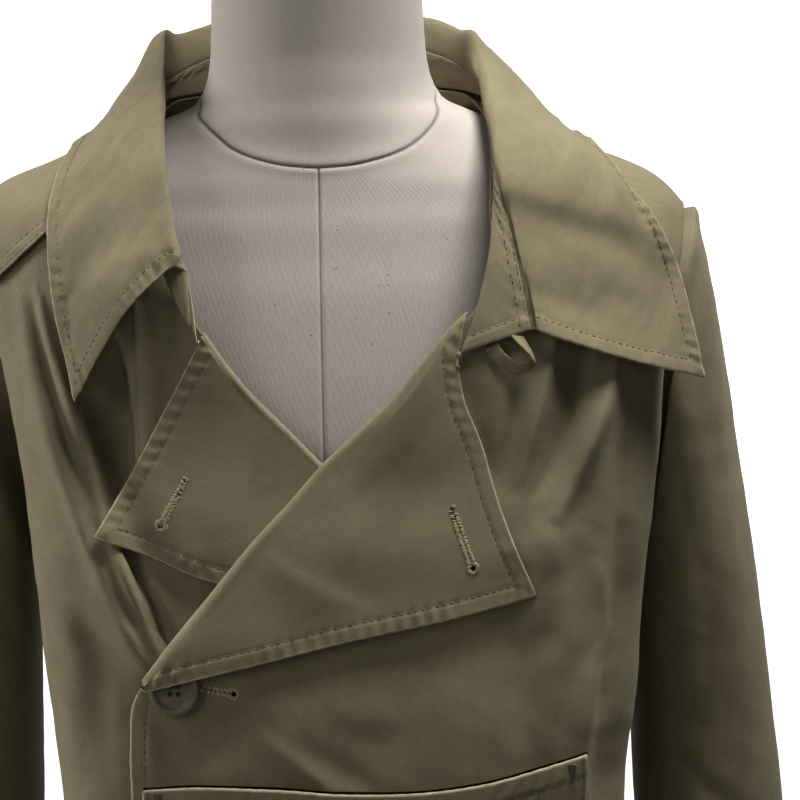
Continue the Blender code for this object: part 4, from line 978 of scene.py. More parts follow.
def front_fine(side, table, lines):
    """A front panel's fine grid, before and after its creases, with its distance from sewn edges."""
    control = front_rows(side, table)
    at_fold = range(FOLD_STARTS[side], len(table) - 1)
    folded = [FOLD_DRAWN if row in at_fold else SEAM for row in range(len(control))]
    grid = draw_in(control, (SEAM, 0), (folded, SEAM))
    seen = walked(grid, 0).mean(axis=1)[len(table) + 2]
    length, width = mean_length(grid, 0), mean_length(grid, 1)
    down = places(length, SEEN_STEP, PLAIN_STEP, rate=0.05, keep=(seen, None))
    across = places(width, EDGE_STEP, SEEN_STEP, rate=0.12, keep=(10, 10))
    smooth = refined(refined(grid, 0, down), 1, across)
    x, z = smooth[..., 0], smooth[..., 2]
    facing = ease((section(COAT, z)[2] - smooth[..., 1]) / 40)
    seam_gap = walked(smooth, 1, back=True)
    off = (creases(x, z, lines) * facing + worn_flat(x, z, 3 + side)) * ease(seam_gap / 4)
    roll = 0.8 + 0.25 * wander(41 + side, 60)(z)
    off += ARMHOLE_ROLL * roll * facing * bell(seam_gap - 4.2, 3.4)
    edge, up = walked(smooth, 1), walked(smooth, 0, back=True)
    shut = ease((z[:, :1] - BREAK) / 5)
    off += (1 - shut) * hemmed(edge, walked(smooth, 0), 11 + side)
    off += hemmed(up, walked(smooth, 1), 21 + side, inset=HEM_DEEP, plump=0.5, pucker=0.4, pitch=14)
    gap = np.minimum(np.where(shut > 0.5, 99, edge), up)
    return smooth, raised(smooth, side, off), gap


left_smooth, left_fine, left_gap = front_fine(1, LEFT_FRONT, LEFT_CREASES)
right_smooth, right_fine, right_gap = front_fine(-1, RIGHT_FRONT, RIGHT_CREASES)
front_left = cloth_piece("front_left_panel", left_fine, 1, PANEL_WALL, ["front_left"], left_gap)
front_right = cloth_piece(
    "front_right_panel", right_fine, -1, PANEL_WALL, ["front_right"], right_gap, shift=(700, 90)
)
on_left, on_right = panel_reader(left_smooth), panel_reader(right_smooth)
for made, grid, side, seed in ((front_left, left_fine, 1, 31), (front_right, right_fine, -1, 32)):
    out = side * normals(grid)
    edge_row, hem_row = beside(grid, out, "first", STITCH_INSET), beside(grid, out, "foot", HEM_DEEP)
    laid_thread(made.name + "_stitches", [edge_row[edge_row[:, 2] < BREAK - 2], hem_row], seed, made)

# --- Back ----------------------------------------------------------------------------------
# One panel of drill. Its upper edge comes forward over the shoulder, where it is folded under and
# sewn down on the fronts with two rows of stitches, so that edge stands proud.

# The armhole's back edge: its distance out at each height.
# Columns: z, out.
BACK_ARMHOLE = [
    (1120, 0.885), (1140, 0.925), (1165, 0.95), (1200, 0.965), (1250, 0.98), (1290, 0.992), (1317, 1.0),
]
# Its columns: the share of the half width that each keeps, and its upper end, on the
# neckline and then along the shoulder seam, which lies forward of the shoulder's ridge.
# Columns: share, across, z.
BACK_NECK = [(0.00, 0, 1390), (0.12, 25, 1389.5), (0.24, 49, 1388), (0.35, 71, 1385), (0.43, 88, 1380.5)]
# Columns: share, along.
BACK_SEAM = [
    (0.475, 0.0), (0.55, 0.15), (0.62, 0.3), (0.69, 0.44), (0.76, 0.57), (0.83, 0.70), (0.89, 0.81),
    (0.95, 0.91), (1.00, 1.0),
]
RIDGE_OUT = 209.0          # how far out the shoulder's ridge ends
FLAP_SHARES = (0.0, 0.45, 0.8, 1.0)  # rows from the shoulder seam up to the ridge
# And from the ridge down to the underarm.
BLADE_SHARES = (0.015, 0.05, 0.11, 0.2, 0.32, 0.46, 0.62, 0.8, 1.0)
FLAP_LIFT = 3.2            # how far the back's forward edge stands off the front that it is sewn over
FLAP_FLAT = 1.1            # share of the way to the ridge at which it lies flat again
NECK_STEP = 14.0           # height that the back's flap rows take below the neckline
NECK_FADE = 30.0           # and the width over which they lose it, next to the shoulder seam
BACK_LEVELS = (1106, 1092, 1079, 1066, *SKIRT_LEVELS)  # heights of the back's rows below the underarm
SHOULDER_ROWS = (2.0, 8.6)  # the shoulder seam's stitch rows, from its folded edge
SHOULDER_FROM = 101.0      # they start this far out from the middle
BACK_CREASES = [
    (-70, 1190, -88, 1010, -96, 760, 2.2, 12, 0.2), (74, 1176, 84, 960, 88, 700, 2.0, 13, -0.2),
    (-128, 1240, -140, 1120, -136, 960, 1.8, 9, 0.3), (130, 1236, 138, 1100, 134, 900, 1.8, 9, -0.3),
    (-150, 1228, -158, 1160, -160, 1080, -1.5, 6, 0.0), (152, 1226, 160, 1150, 158, 1070, -1.5, 6, 0.0),
    (-30, 1130, -24, 1000, -30, 860, 1.2, 12, 0.1), (34, 1110, 30, 980, 38, 840, 1.2, 12, -0.1),
    (0, 1000, -6, 760, -4, 420, -2.6, 18, 0.1), (-120, 800, -132, 620, -140, 400, 2.4, 14, 0.2),
    (116, 780, 130, 600, 136, 390, 2.4, 14, -0.2), (-60, 700, -70, 540, -74, 380, -2.0, 14, 0.1),
    (60, 680, 66, 520, 72, 380, -2.0, 14, 0.1), (170, 760, 182, 600, 188, 420, 2.0, 11, 0.2),
    (-172, 760, -184, 600, -190, 420, 2.0, 11, 0.2), (-96, 1330, -60, 1262, -20, 1240, 1.0, 11, 0.2),
    (100, 1326, 64, 1262, 24, 1236, 1.0, 11, 0.2),
]


def ridge_height(x):
    """Height of the shoulder's ridge at each distance out."""
    rows = rows_of([row for row in COAT if row[0] >= 1317])
    rows = rows[np.argsort(rows[:, 2])]
    return smooth_read(rows[:, 2], rows[:, 0], np.abs(x))


def back_out(side, z):
    """The back's outer edge: its distance out at each height of the armhole or side seam."""
    z = np.asarray(z, float)
    right, left = section(COAT, z)[:2]
    half = left if side > 0 else right
    rows = rows_of(BACK_ARMHOLE)
    share = smooth_read(rows[:, 0], rows[:, 1], z)
    seam_n = section(COAT, z)[6]
    seam = np.abs(np.sin(np.radians(armhole_turn(z)))) ** (2 / seam_n)
    return half * np.where(z > UNDERARM, share, seam)


def back_half(side):
    """The back's columns on one side of its middle, rows from the neck or shoulder seam to the hem."""
    neck, seam = rows_of(BACK_NECK), rows_of(BACK_SEAM)
    start_x, start_z, end_z = LEFT_FRONT[0]
    end_x = abs(on_body(COAT, side * armhole_turn(end_z), end_z)[0])
    share = np.concatenate([neck[:, 0], seam[:, 0]])
    across = np.concatenate([neck[:, 1], start_x + (end_x - start_x) * seam[:, 1]])
    top = np.concatenate([neck[:, 2], start_z + (end_z - start_z) * seam[:, 1]])
    forward = np.arange(len(share)) >= len(neck)
    ridge_x = share * RIDGE_OUT
    edge = float(ridge_height(RIDGE_OUT))
    ridge_z = np.where(forward, ridge_height(ridge_x), top - NECK_STEP * ease((start_x - across) / NECK_FADE))
    rows = []
    for flap in FLAP_SHARES:
        x = across + (ridge_x - across) * flap
        z = top + (ridge_z - top) * flap
        ahead = forward & (flap < 1)
        y = face_depth(COAT, side * x, np.where(forward, np.minimum(z, ridge_height(x)), z), ahead)
        row = np.stack([side * x, y, z], -1)
        rows.append(np.where(ahead[:, None], away_from_coat(row, FLAP_LIFT * ease(FLAP_FLAT - flap)), row))
    levels = [(edge + (UNDERARM - edge) * b, ridge_z + (UNDERARM - ridge_z) * b) for b in BLADE_SHARES]
    for level, z in levels + [(level, level + 0 * share) for level in BACK_LEVELS]:
        x = side * share * back_out(side, level)
        rows.append(np.stack([x, face_depth(COAT, x, z, False), z], -1))
    return shaped(np.array(rows))


halves = {side: back_half(side) for side in (1, -1)}
back_control = draw_in(np.concatenate([halves[-1][:, :0:-1], halves[1]], axis=1), (SEAM, 0), (SEAM, SEAM))
length, width = mean_length(back_control, 0), mean_length(back_control, 1)
down = places(length, near=1.5, far=8.0, rate=0.06, keep=(14, None))
across = places(width, 3.0)
back_fine = refined(refined(back_control, 0, down), 1, across)
x, z = back_fine[..., 0], back_fine[..., 2]
behind = ease((back_fine[..., 1] - section(COAT, z)[2]) / 40)
flap, up, around = walked(back_fine, 0), walked(back_fine, 0, back=True), walked(back_fine, 1)
over_front = ease((np.abs(x[:1]) - LEFT_FRONT[0][0] - 2) / 8)
seam_gap = np.minimum(around, walked(back_fine, 1, back=True))
off = (creases(x, z, BACK_CREASES) * behind + worn_flat(x, z, 61) * ease(flap / 20)) * ease(seam_gap / 4)
off += over_front * hemmed(flap, around, 63, SHOULDER_ROWS[1], plump=0.6, pucker=0.5, pitch=12.0)
off -= over_front * 0.3 * bell(flap - SHOULDER_ROWS[0], 0.9)
off += hemmed(up, around, 65, HEM_DEEP, plump=0.5, pucker=0.4, pitch=14)
back_fine = raised(back_fine, -1, off)
back_gap = np.minimum(np.where(over_front > 0.5, flap, 99), up)
back = cloth_piece("back_panel", back_fine, -1, PANEL_WALL, ["back"], back_gap, shift=(1500, 310))
rows = [beside(back_fine, -normals(back_fine), "foot", HEM_DEEP)]
for inset in SHOULDER_ROWS:
    row = beside(back_fine, -normals(back_fine), "top", inset)
    rows += [row[row[:, 0] < -SHOULDER_FROM], row[row[:, 0] > SHOULDER_FROM]]
laid_thread("back_panel_stitches", rows, 66, back)

# --- Sleeves -------------------------------------------------------------------------------
# Each is one tube of drill, set into its armhole and hanging empty, so that it is pressed flat
# between front and back and falls in soft folds from the shoulder. The cuff is turned up and stitched.

# The outer and inner ends of each ring, the depth of its middle and half its depth.
# Columns: out_x, out_z, in_x, in_z, mid_y, half_y.
SLEEVE = [
    (219, 1297, 172, 1112, 12, 62), (226, 1262, 171, 1102, 14, 63), (234, 1212, 171, 1090, 16, 64),
    (243, 1142, 172, 1068, 18, 65), (251, 1080, 173, 1030, 19, 65), (256, 1030, 174, 992, 18, 64),
    (262, 962, 176, 936, 14, 63), (267, 890, 180, 872, 8, 61), (271, 820, 186, 808, 2, 60),
    (274, 760, 192, 752, -4, 58), (276, 728, 194, 722, -7, 58),
]
SLEEVE_CLEAR = 2.5         # how far a sleeve hangs from the body
SLEEVE_START = 1.9         # how far out of the armhole its first ring lies
SLEEVE_TUCK = 3.0          # the sleeve's raw head is turned in under the body's edge
HEAD_SUNK = 3.2            # how far its head sinks just below the shoulder's edge
CUFF_DEEP = 24.0           # the cuff is turned up and stitched this far above its fold
SLEEVE_CREASES = [
    (214, 1296, 222, 1240, 226, 1170, 2.2, 8, 0.2), (226, 1262, 234, 1190, 240, 1110, -1.2, 8, 0.2),
    (190, 1250, 202, 1190, 212, 1120, 2.0, 7, -0.2), (204, 1190, 211, 1120, 214, 1040, -1.8, 8, 0.2),
    (226, 1150, 233, 1080, 237, 1000, 1.8, 8, 0.2), (196, 1000, 216, 980, 250, 964, -1.4, 9, 0.2),
    (200, 990, 224, 960, 256, 948, 2.0, 9, 0.3), (206, 940, 220, 890, 226, 830, 1.6, 8, 0.2),
    (240, 900, 250, 850, 252, 790, -1.6, 8, 0.1), (214, 830, 226, 796, 250, 770, 1.2, 8, 0.1),
]


def sleeve_rings(side, front, back):
    """A sleeve's rings: the armhole's own points, then ovals that turn down to the cuff."""
    loop = np.concatenate([front, back])
    top, foot = int(loop[:, 2].argmax()), len(front) - 1
    loop, foot = np.roll(loop, -top, axis=0), foot + len(loop) - top
    step = np.linalg.norm(np.diff(loop, axis=0, append=loop[:1]), axis=1)
    gone = np.concatenate([[0], np.cumsum(step[:-1])])
    ahead, whole = gone[foot], gone[-1] + step[-1]
    angle = np.where(gone <= ahead, -math.pi * gone / ahead, math.pi * (whole - gone) / (whole - ahead))
    start = np.array([side * SLEEVE_START, 0, 0])
    rings = [loop + start]
    for out_x, out_z, in_x, in_z, mid_y, half_y in SLEEVE:
        out_end, in_end = np.array([out_x, 0, out_z]), np.array([in_x, 0, in_z])
        centre, arm = (out_end + in_end) / 2, (out_end - in_end) / 2
        ring = centre + np.cos(angle)[:, None] * arm
        ring[:, 1] = mid_y + half_y * np.sin(angle)
        ring[:, 0] *= side
        rings.append(ring)
    rings = np.array(rings)
    rings[1:] = away_from_coat(rings[1:], SLEEVE_CLEAR)
    return rings


underarm = [row[2] for row in LEFT_FRONT].index(UNDERARM)
blades = len(FLAP_SHARES) + len(BLADE_SHARES)
for side, table, name, seed in ((1, LEFT_FRONT, "sleeve_left", 71), (-1, RIGHT_FRONT, "sleeve_right", 75)):
    front, rear = front_rows(side, table)[: underarm + 1, -1], halves[side][:blades, -1][-2:0:-1]
    rings = sleeve_rings(side, front, rear)
    loop = rings[0] - [side * SLEEVE_START, 0, 0]
    outward = unit(away_from_coat(loop, 30.0) - loop)
    rings[0] = loop + [side * 0.4, 0, 0] - 0.4 * outward
    rings = np.concatenate([[loop - [side * SLEEVE_TUCK, 0, 0] - 2.4 * outward], rings])
    length, girth = mean_length(rings, 0), mean_length(rings, 1, closed=True)
    down = places(length, near=2.8, far=6.0, rate=0.05, keep=(330, 30))
    around = places(girth, 2.9)[:-1]
    grid = refined(refined(rings, 1, around, girth, closed=True), 0, down)
    x, y, z = np.abs(grid[..., 0]), grid[..., 1], grid[..., 2]
    behind = y - y.mean(axis=1, keepdims=True)
    head, around, cuff = walked(grid, 0), walked(grid, 1), walked(grid, 0, back=True)
    off = creases(x, z + (0 if side > 0 else 14), SLEEVE_CREASES) * ease(-behind / 30)
    off = (off + creases(x, z - 40, SLEEVE_CREASES) * ease(behind / 30)) * ease(head / 30)
    off += worn_flat(x + 400 * (behind > 0), z, seed) * ease(head / 12)
    off += hemmed(cuff, around, seed + 1, CUFF_DEEP, plump=0.5, pucker=0.4, pitch=12)
    off -= HEAD_SUNK * bell(head - 6, 9) * ease((z - 1270) / 40)
    gathers = 1 + np.sin(around / 9.0 * 2 * math.pi + wander(seed, 30)(around) * 2)
    off += 0.5 * ease((1300 - z) / 30) * bell(head - 9, 7) * gathers
    grid = grid - side * normals(grid, True) * off[..., None]
    near_cuff, shift = np.minimum(cuff, 99), (2300 + 500 * side, 40)
    sleeve = cloth_piece(name + "_tube", grid, -side, PANEL_WALL, [name], near_cuff, closed=True, shift=shift)
    ring = beside(grid, -side * normals(grid, True), "foot", CUFF_DEEP)
    laid_thread(name + "_tube_stitches", [np.concatenate([ring, ring[:1]])], seed + 2, sleeve)


# --- Collar --------------------------------------------------------------------------------
# Two-ply drill: a stand sewn to the neckline and a fall sewn to the stand's top. The fall rolls
# over and turns down; it is worn open, so its leaves lie on the shoulders with their points lifted.

# Its sections, from its right front end round the back to its left front end, each with
# the neck seam, the top of its stand, its fold, a place half way down the fall and the fall's edge.
# Columns: seam, stand, fold, middle, edge.
COLLAR = [
    ((-67, -122, 1255), (-71, -115, 1290), (-78, -122, 1296), (-106, -130, 1271), (-135, -114, 1223)),
    ((-76, -117, 1272), (-75, -113, 1301), (-79, -120, 1308), (-116, -118, 1288), (-141, -102, 1250)),
    ((-86, -108, 1297), (-79, -108, 1318), (-82, -109, 1327), (-120, -103, 1304), (-146, -86, 1277)),
    ((-93, -88, 1327), (-84, -89, 1342), (-85, -91, 1351), (-122, -80, 1335), (-149, -66, 1309)),
    ((-97, -47, 1358), (-86, -49, 1371), (-86.5, -52, 1382), (-119, -48, 1365), (-146, -36, 1343)),
    ((-97, 14, 1375), (-87, 20, 1391), (-88, 21, 1406), (-116, 20, 1385), (-139, 14, 1359)),
    ((-86, 32, 1382), (-80, 49, 1400), (-82, 58, 1419), (-108, 60, 1395), (-134, 60, 1352)),
    ((-52, 66, 1387), (-50, 74, 1411), (-50, 85, 1430), (-62, 99, 1397), (-76, 108, 1352)),
    ((0, 80, 1390), (0, 82, 1413), (0, 91, 1433), (0, 107, 1397), (0, 116, 1351)),
    ((52, 66, 1387), (49, 74, 1411), (50, 85, 1430), (64, 99, 1396), (80, 108, 1351)),
    ((86, 32, 1382), (79, 48, 1401), (82, 57, 1419), (112, 58, 1392), (142, 60, 1346)),
    ((97, 14, 1375), (88, 16, 1391), (95, 20, 1402), (126, 14, 1377), (154, 2, 1351)),
    ((97, -47, 1356), (94, -49, 1366), (99, -51, 1370), (141, -50, 1354), (174, -48, 1330)),
    ((95, -88, 1326), (98, -88, 1337), (102, -89, 1340), (150, -78, 1325), (190, -60, 1307)),
    ((93, -102, 1300), (105, -98, 1308), (108, -98, 1309), (158, -84, 1290), (200, -63, 1281)),
    ((86, -112, 1272), (110, -108, 1281), (114, -109, 1281), (161, -96, 1264), (206, -74, 1252)),
    ((76, -121, 1246), (114, -118, 1257), (119, -121, 1256), (163, -111, 1240), (211, -81, 1225)),
]
SEAM_LIFT = 3.9            # how far the collar's neck seam clears the coat's body
# How far each section's fold, and its fall where it passes over the stand, clear the coat's body.
FOLD_LIFT = (6.5, 8, 10, 10, 9, 8, 6, 5, 5, 5, 6, 8, 7.5, 6.5, 5.5, 5, 5)
OVER_LIFT = (7, 7, 7, 7, 7, 6, 5, 5, 5, 5, 5, 6, 6, 4.9, 4.6, 4.6, 4.6)
EDGE_LIFT = 4.6            # how far the fall's edge clears the coat's body
STAND_LOWER = 1.2          # the stand clears the coat by this much less than the fold
COLLAR_COUNT = 41          # sections after smoothing
STAND_SHARES = (0.0, 0.33, 0.67, 1.0)  # rows up the stand
FALL_SHARES = (0.0, 0.07, 0.22, 0.42, 0.62, 0.82, 1.0)  # and down the fall
COLLAR_WALL = 1.7          # its two plies
STAND_ROW = 6.0            # the stand's stitch row, from its seam with the fall


def smooth_path(points, count):
    """Evenly numbered points on a curve through all the given ones."""
    points = np.asarray(points, float)
    keys = np.arange(len(points), dtype=float)
    at = np.linspace(0, len(points) - 1, count)
    before = np.vstack([2 * points[0] - points[1], points, 2 * points[-1] - points[-2]])
    i = np.clip(np.floor(at).astype(int), 0, len(points) - 2)
    t = (at - keys[i])[:, None]
    p0, p1, p2, p3 = before[i], before[i + 1], before[i + 2], before[i + 3]
    curve = (2 * p0 - 5 * p1 + 4 * p2 - p3) * t**2 + (3 * p1 - p0 - 3 * p2 + p3) * t**3
    return 0.5 * (2 * p1 + (p2 - p0) * t + curve)


def gap_to(points, path):
    """How far each point lies from a path, and how far along the path its nearest place is."""
    gap, step, share = nearest_on(points.reshape(-1, 3), path)
    gone = walked(path, 0)
    along = gone[step] + share * np.diff(gone)[step]
    return gap.reshape(points.shape[:-1]), along.reshape(points.shape[:-1])


seam, top, fold, middle, edge = [smooth_path(line, COLLAR_COUNT) for line in np.swapaxes(COLLAR, 0, 1)]
at = np.linspace(0, len(COLLAR) - 1, COLLAR_COUNT)
lift = np.interp(at, range(len(COLLAR)), FOLD_LIFT)
over = np.interp(at, range(len(COLLAR)), OVER_LIFT)
seam, fold = away_from_coat(seam, SEAM_LIFT), away_from_coat(fold, lift)
top = away_from_coat(top, lift - STAND_LOWER)
stand = away_from_coat([seam + (top - seam) * share for share in STAND_SHARES], SEAM_LIFT)
bend = 2 * middle - (fold + edge) / 2
fall, clear = [top], [lift - STAND_LOWER]
for share in FALL_SHARES[1:]:
    t = (share - FALL_SHARES[1]) / (1 - FALL_SHARES[1])
    fall.append(fold * (1 - t) ** 2 + 2 * bend * t * (1 - t) + edge * t * t)
    clear.append(over + (EDGE_LIFT - over) * ease((t - 0.4) / 0.6))
fall = away_from_coat(fall, np.array(clear))
control = np.concatenate([stand, fall[1:]])
keys = np.concatenate([[0], np.cumsum(np.linalg.norm(np.diff(control, axis=0), axis=-1).mean(axis=1))])
joint = keys[len(stand) - 1]
lower = places(joint, 1.7)
upper = joint + places(keys[-1] - joint, near=1.3, far=2.2, rate=0.12, keep=(None, 10))
width = mean_length(control, 1)
across = places(width, near=1.4, far=2.5, rate=0.1, keep=(12, 12))
grid = refined(refined(control, 0, np.concatenate([lower, upper[1:]])), 1, across)
split = len(lower) - 1
rim, rim_along = gap_to(grid, np.concatenate([grid[split:, 0], grid[-1, 1:-1], grid[split:, -1][::-1]]))
down, around = walked(grid, 0), walked(grid, 1)
ends = np.minimum(around, walked(grid, 1, back=True))
from_joint = down - down[split]
row_number = np.arange(len(grid))[:, None]
off_fall = hemmed(rim, rim_along, 81, STITCH_INSET, plump=0.3, pucker=0.7, pitch=8.0)
off_fall += 0.7 * rumple(down, around, 83, 24.0)
off_fall += 0.4 * rumple(down + 0.6 * around, around, 89, 10.0)
off_fall += 0.16 * rumple(down, around + 0.5 * down, 90, 5.5)
off_stand = hemmed(np.minimum(ends, 60), down, 84, STITCH_INSET, plump=0.5, pucker=0.4, pitch=10.0)
off_stand += 0.45 * rumple(down, around, 85, 20.0)
blend_rows = ease((row_number - split) / 6 + 0.5)
off = off_stand * (1 - blend_rows) + off_fall * blend_rows
off = off - 0.5 * bell(from_joint, 1.2) + 0.35 * bell(from_joint + 3.5, 3.0)
swell = np.sin(around / 11 * 2 * math.pi + 2 * wander(86, 26)(around))
off += 0.5 * bell(from_joint + 5, 5) * swell
grid = raised(grid, -1, off)
facing = normals(grid)
fall_gap = np.where(row_number >= split, rim, 99 + 0 * rim)
collar_fall = cloth_piece(
    "collar_fall_leaf", grid[split:], -1, COLLAR_WALL, ["collar_fall"], fall_gap[split:],
    facing=facing[split:], shift=(0, 1500),
)
collar_stand = cloth_piece(
    "collar_stand_band", grid[: split + 1], -1, COLLAR_WALL, ["collar_stand"], ends[: split + 1],
    facing=facing[: split + 1], shift=(700, 1500),
)
out = -facing
around = beside(grid, out, "foot", STITCH_INSET)
rows = [part_of(around, STITCH_INSET + 1, -STITCH_INSET - 1)]
for side in ("first", "last"):
    rows.append(part_of(beside(grid[split:], out[split:], side, STITCH_INSET), 2, -STITCH_INSET - 1))
laid_thread("collar_fall_stitches", rows, 87, collar_fall)
band = grid[: split + 1]
rows = [part_of(beside(band, out[: split + 1], "foot", inset), 2, -2) for inset in (1.6, STAND_ROW)]
for side in ("first", "last"):
    rows.append(part_of(beside(band, out[: split + 1], side, STITCH_INSET), 2, -STAND_ROW - 1))
laid_thread("collar_stand_stitches", rows, 88, collar_stand)

# --- Lapels --------------------------------------------------------------------------------
# The upper corner of each front, turned back on itself in a soft roll from the neck seam to the
# break. Two plies, topstitched 8 mm in, each with a keyhole buttonhole near its point.

# Both, at places along the fold from the neck seam to the break: the fold, the outer edge,
# and how far the cloth stands off the panel at the roll and at its edge.
# Columns: fold_x, fold_z, edge_x, edge_z, roll, rise.
LEFT_LAPEL = [
    (79, 1267, 73.5, 1243, 4.0, 3.0), (70, 1259, 76.5, 1220, 5.0, 3.0), (56, 1243, 85, 1197, 5.5, 2.8),
    (38, 1222, 93, 1167, 5.5, 2.8), (14, 1201, 102, 1141, 5.5, 2.8), (-1, 1188, 113, 1115, 5.5, 3.2),
    (-18.5, 1169, 62, 1104, 6.0, 4.0), (-41, 1146, 12, 1095, 6.4, 5.0), (-62.5, 1121, -34, 1085, 7.4, 6.8),
    (-84.2, 1096, -70, 1077, 8.0, 7.8), (-100.4, 1075.5, -98.5, 1070, 8.0, 7.8),
]
RIGHT_LAPEL = [
    (-63, 1259, -66, 1254, 3.6, 3.2), (-50, 1240, -76, 1235, 4.0, 3.2), (-36, 1223, -91, 1208, 4.4, 3.4),
    (-20, 1207, -107, 1180, 4.6, 4.8), (-1, 1187, -125, 1151, 4.8, 6.4), (14, 1171, -92, 1138, 4.6, 4.6),
    (28, 1156, -58, 1125, 4.0, 3.4), (40, 1144, -10, 1120, 3.6, 3.2), (50, 1133, 36, 1121, 3.4, 3.2),
]
LAPEL_ROLL = 0.14          # share of the width where the roll is highest
LAPEL_WALL = 1.6           # their two plies
LAPEL_TIPS = (5, 4)        # the rows of the two tables that end in the lapel's point
LAPEL_LAGS = (1.9, 1.0)    # how late each one's rows leave the fold's pace above its point
ROLL_TURNS = (-80, -55, -30, -5, 20, 45, 70)  # columns round the roll, in degrees
LEFT_LAPEL_CREASES = [
    (66, 1240, 40, 1200, 6, 1172, 0.9, 9, 0.2), (80, 1205, 60, 1170, 30, 1150, -0.9, 12, 0.0),
    (20, 1185, 10, 1160, 20, 1130, 0.8, 10, 0.0), (-30, 1140, -10, 1124, 20, 1112, 0.9, 7, 0.2),
]
RIGHT_LAPEL_CREASES = [
    (-60, 1245, -76, 1215, -88, 1190, 0.8, 8, 0.2), (-50, 1225, -64, 1190, -70, 1150, -0.9, 9, 0.0),
    (-30, 1200, -50, 1170, -60, 1140, 0.8, 8, 0.1),
]


def lapel_fine(table, tip, stand, lag):
    """A lapel's fine grid: rows along its fold, columns round its roll and out to its edge.

    Above the point, the rows move along the edge later than along the fold, by the power lag.
    """
    rows = rows_of(table)
    parts = []
    for part in (rows[: tip + 1], rows[tip:]):
        run = np.linalg.norm(np.diff(part[:, 2:4], axis=0), axis=1).sum()
        run = max(run, np.linalg.norm(np.diff(part[:, :2], axis=0), axis=1).sum())
        parts.append(smooth_path(part, int(run / 2.0)))
    at = np.arange(len(parts[0]))
    late = at[-1] * (at / at[-1]) ** lag
    for column in (2, 3, 5):
        parts[0][:, column] = np.interp(late, at, parts[0][:, column])
    fold_x, fold_z, edge_x, edge_z, roll, rise = np.concatenate([parts[0], parts[1][1:]]).T
    wide = np.hypot(edge_x - fold_x, edge_z - fold_z)
    widest = wide.max()
    shares = places(widest, near=EDGE_STEP, far=2.6, rate=0.12, keep=(None, 12)) / widest
    way_x, way_z = (edge_x - fold_x) / wide, (edge_z - fold_z) / wide
    radius = np.minimum((roll + LAPEL_WALL) / 2, wide / 2.2)
    columns = []
    for turn in np.radians(ROLL_TURNS):
        reach = radius * (1 - math.cos(turn))
        height = (roll - LAPEL_WALL) / 2 + radius * math.sin(turn)
        columns.append(stand(fold_x + way_x * reach, fold_z + way_z * reach, height))
    for share in shares:
        t = radius / wide + (1 - radius / wide) * share
        down = ease((share - LAPEL_ROLL) / (1 - LAPEL_ROLL))
        x, z = fold_x + (edge_x - fold_x) * t, fold_z + (edge_z - fold_z) * t
        columns.append(stand(x, z, roll + (rise - roll) * down))
    return np.array(columns).transpose(1, 0, 2)


def inset_path(edge, inset):
    """The path that runs so far inside an edge, with its corners kept, in the front view."""
    path = spaced(edge, int(walked(edge, 0)[-1] / 1.2))[:, [0, 2]]
    way = unit(np.gradient(path, axis=0))
    sides = [path + turn * inset * np.stack([way[:, 1], -way[:, 0]], -1) for turn in (1, -1)]
    moved = min(sides, key=lambda side: abs(side[len(side) // 2, 0]))
    gap = np.linalg.norm(moved[:, None] - path[None], axis=-1).min(axis=1)
    return moved[gap > inset - 0.35]


def laid_on(tree, path):
    """Places (across, height) of the front view dropped on a surface, with the surface's normals."""
    out = []
    for x, z in path:
        hit, normal = tree.ray_cast(Vector((x, -400, z)), Vector((0, 1, 0)))[:2]
        if hit is not None:
            out.append([*hit, *(normal if normal.y < 0 else -normal)])
    return np.array(out)


KEYHOLE_EYE = 1.7          # radius of a keyhole buttonhole's eye
KEYHOLE_SLIT = 0.45        # half the width of its slit
KEYHOLE_PURL = dict(pitch=1.7, long=2.5, thick=0.95, sunk=-0.1)  # its thread is thick and stands proud


def keyhole(name, tree, start, end, rides_with, seed, finish):
    """A keyhole buttonhole: a slit with a round eye at its end, both worked round with thread and covered by
    a near-black sheet of painted shade.
    """
    start, end = np.array(start, float), np.array(end, float)
    long, chance, bars = np.linalg.norm(end - start), np.random.default_rng(seed + 50), []
    way = (end - start) / long
    across = np.array([-way[1], way[0]])
    for at in np.arange(0.4, long - 1.2, 0.6):
        for turn in (1, -1):
            reach = 1.3 + 0.9 * at / long + chance.uniform(-0.3, 0.5)
            near = start + way * at + turn * across * chance.uniform(0.05, 0.35)
            bars.append([near, near + turn * across * reach + way * chance.uniform(-0.7, 0.7)])
    for angle in np.radians(np.arange(0, 360, 15) + chance.uniform(-5, 5, 24)):
        ray = np.array([math.cos(angle), math.sin(angle)])
        if ray @ way > -0.85:
            bars.append([end + ray * 1.5, end + ray * chance.uniform(3.2, 4.1)])
    paths = [line for line in (laid_on(tree, bar) for bar in bars) if len(line) == 2]
    laid_thread(name + "_buttonhole", paths, seed, rides_with, finish, **KEYHOLE_PURL)
    slit, neck = across * KEYHOLE_SLIT, end - way * 1.2
    outline = [start + slit, neck + slit]
    for angle in np.radians(np.linspace(155, -155, 15)):
        outline.append(end + KEYHOLE_EYE * (math.cos(angle) * way + math.sin(angle) * across))
    outline += [neck - slit, start - slit]
    line = laid_on(tree, outline + [(start + end) / 2])
    count = len(line) - 1
    fan = [(k, (k + 1) % count, count) for k in range(count)]
    # A near-black fan over the slit and eye: painted shade where the opening would be in shadow.
    made = piece(name + "_slit", line[:, :3] + line[:, 3:] * 0.16, fan, painted_slit_shade, "cotton_drill")
    made.parent = rides_with


# The open slit of a buttonhole, drawn as a near-black sheet: painted shade for the gap between two plies,
# where little light gets in.
painted_slit_shade = finish_of(
    "buttonhole_painted_shade", Roughness=1.0, Base_Color=linear("#17140f"), Specular_IOR_Level=0.0
)[0]

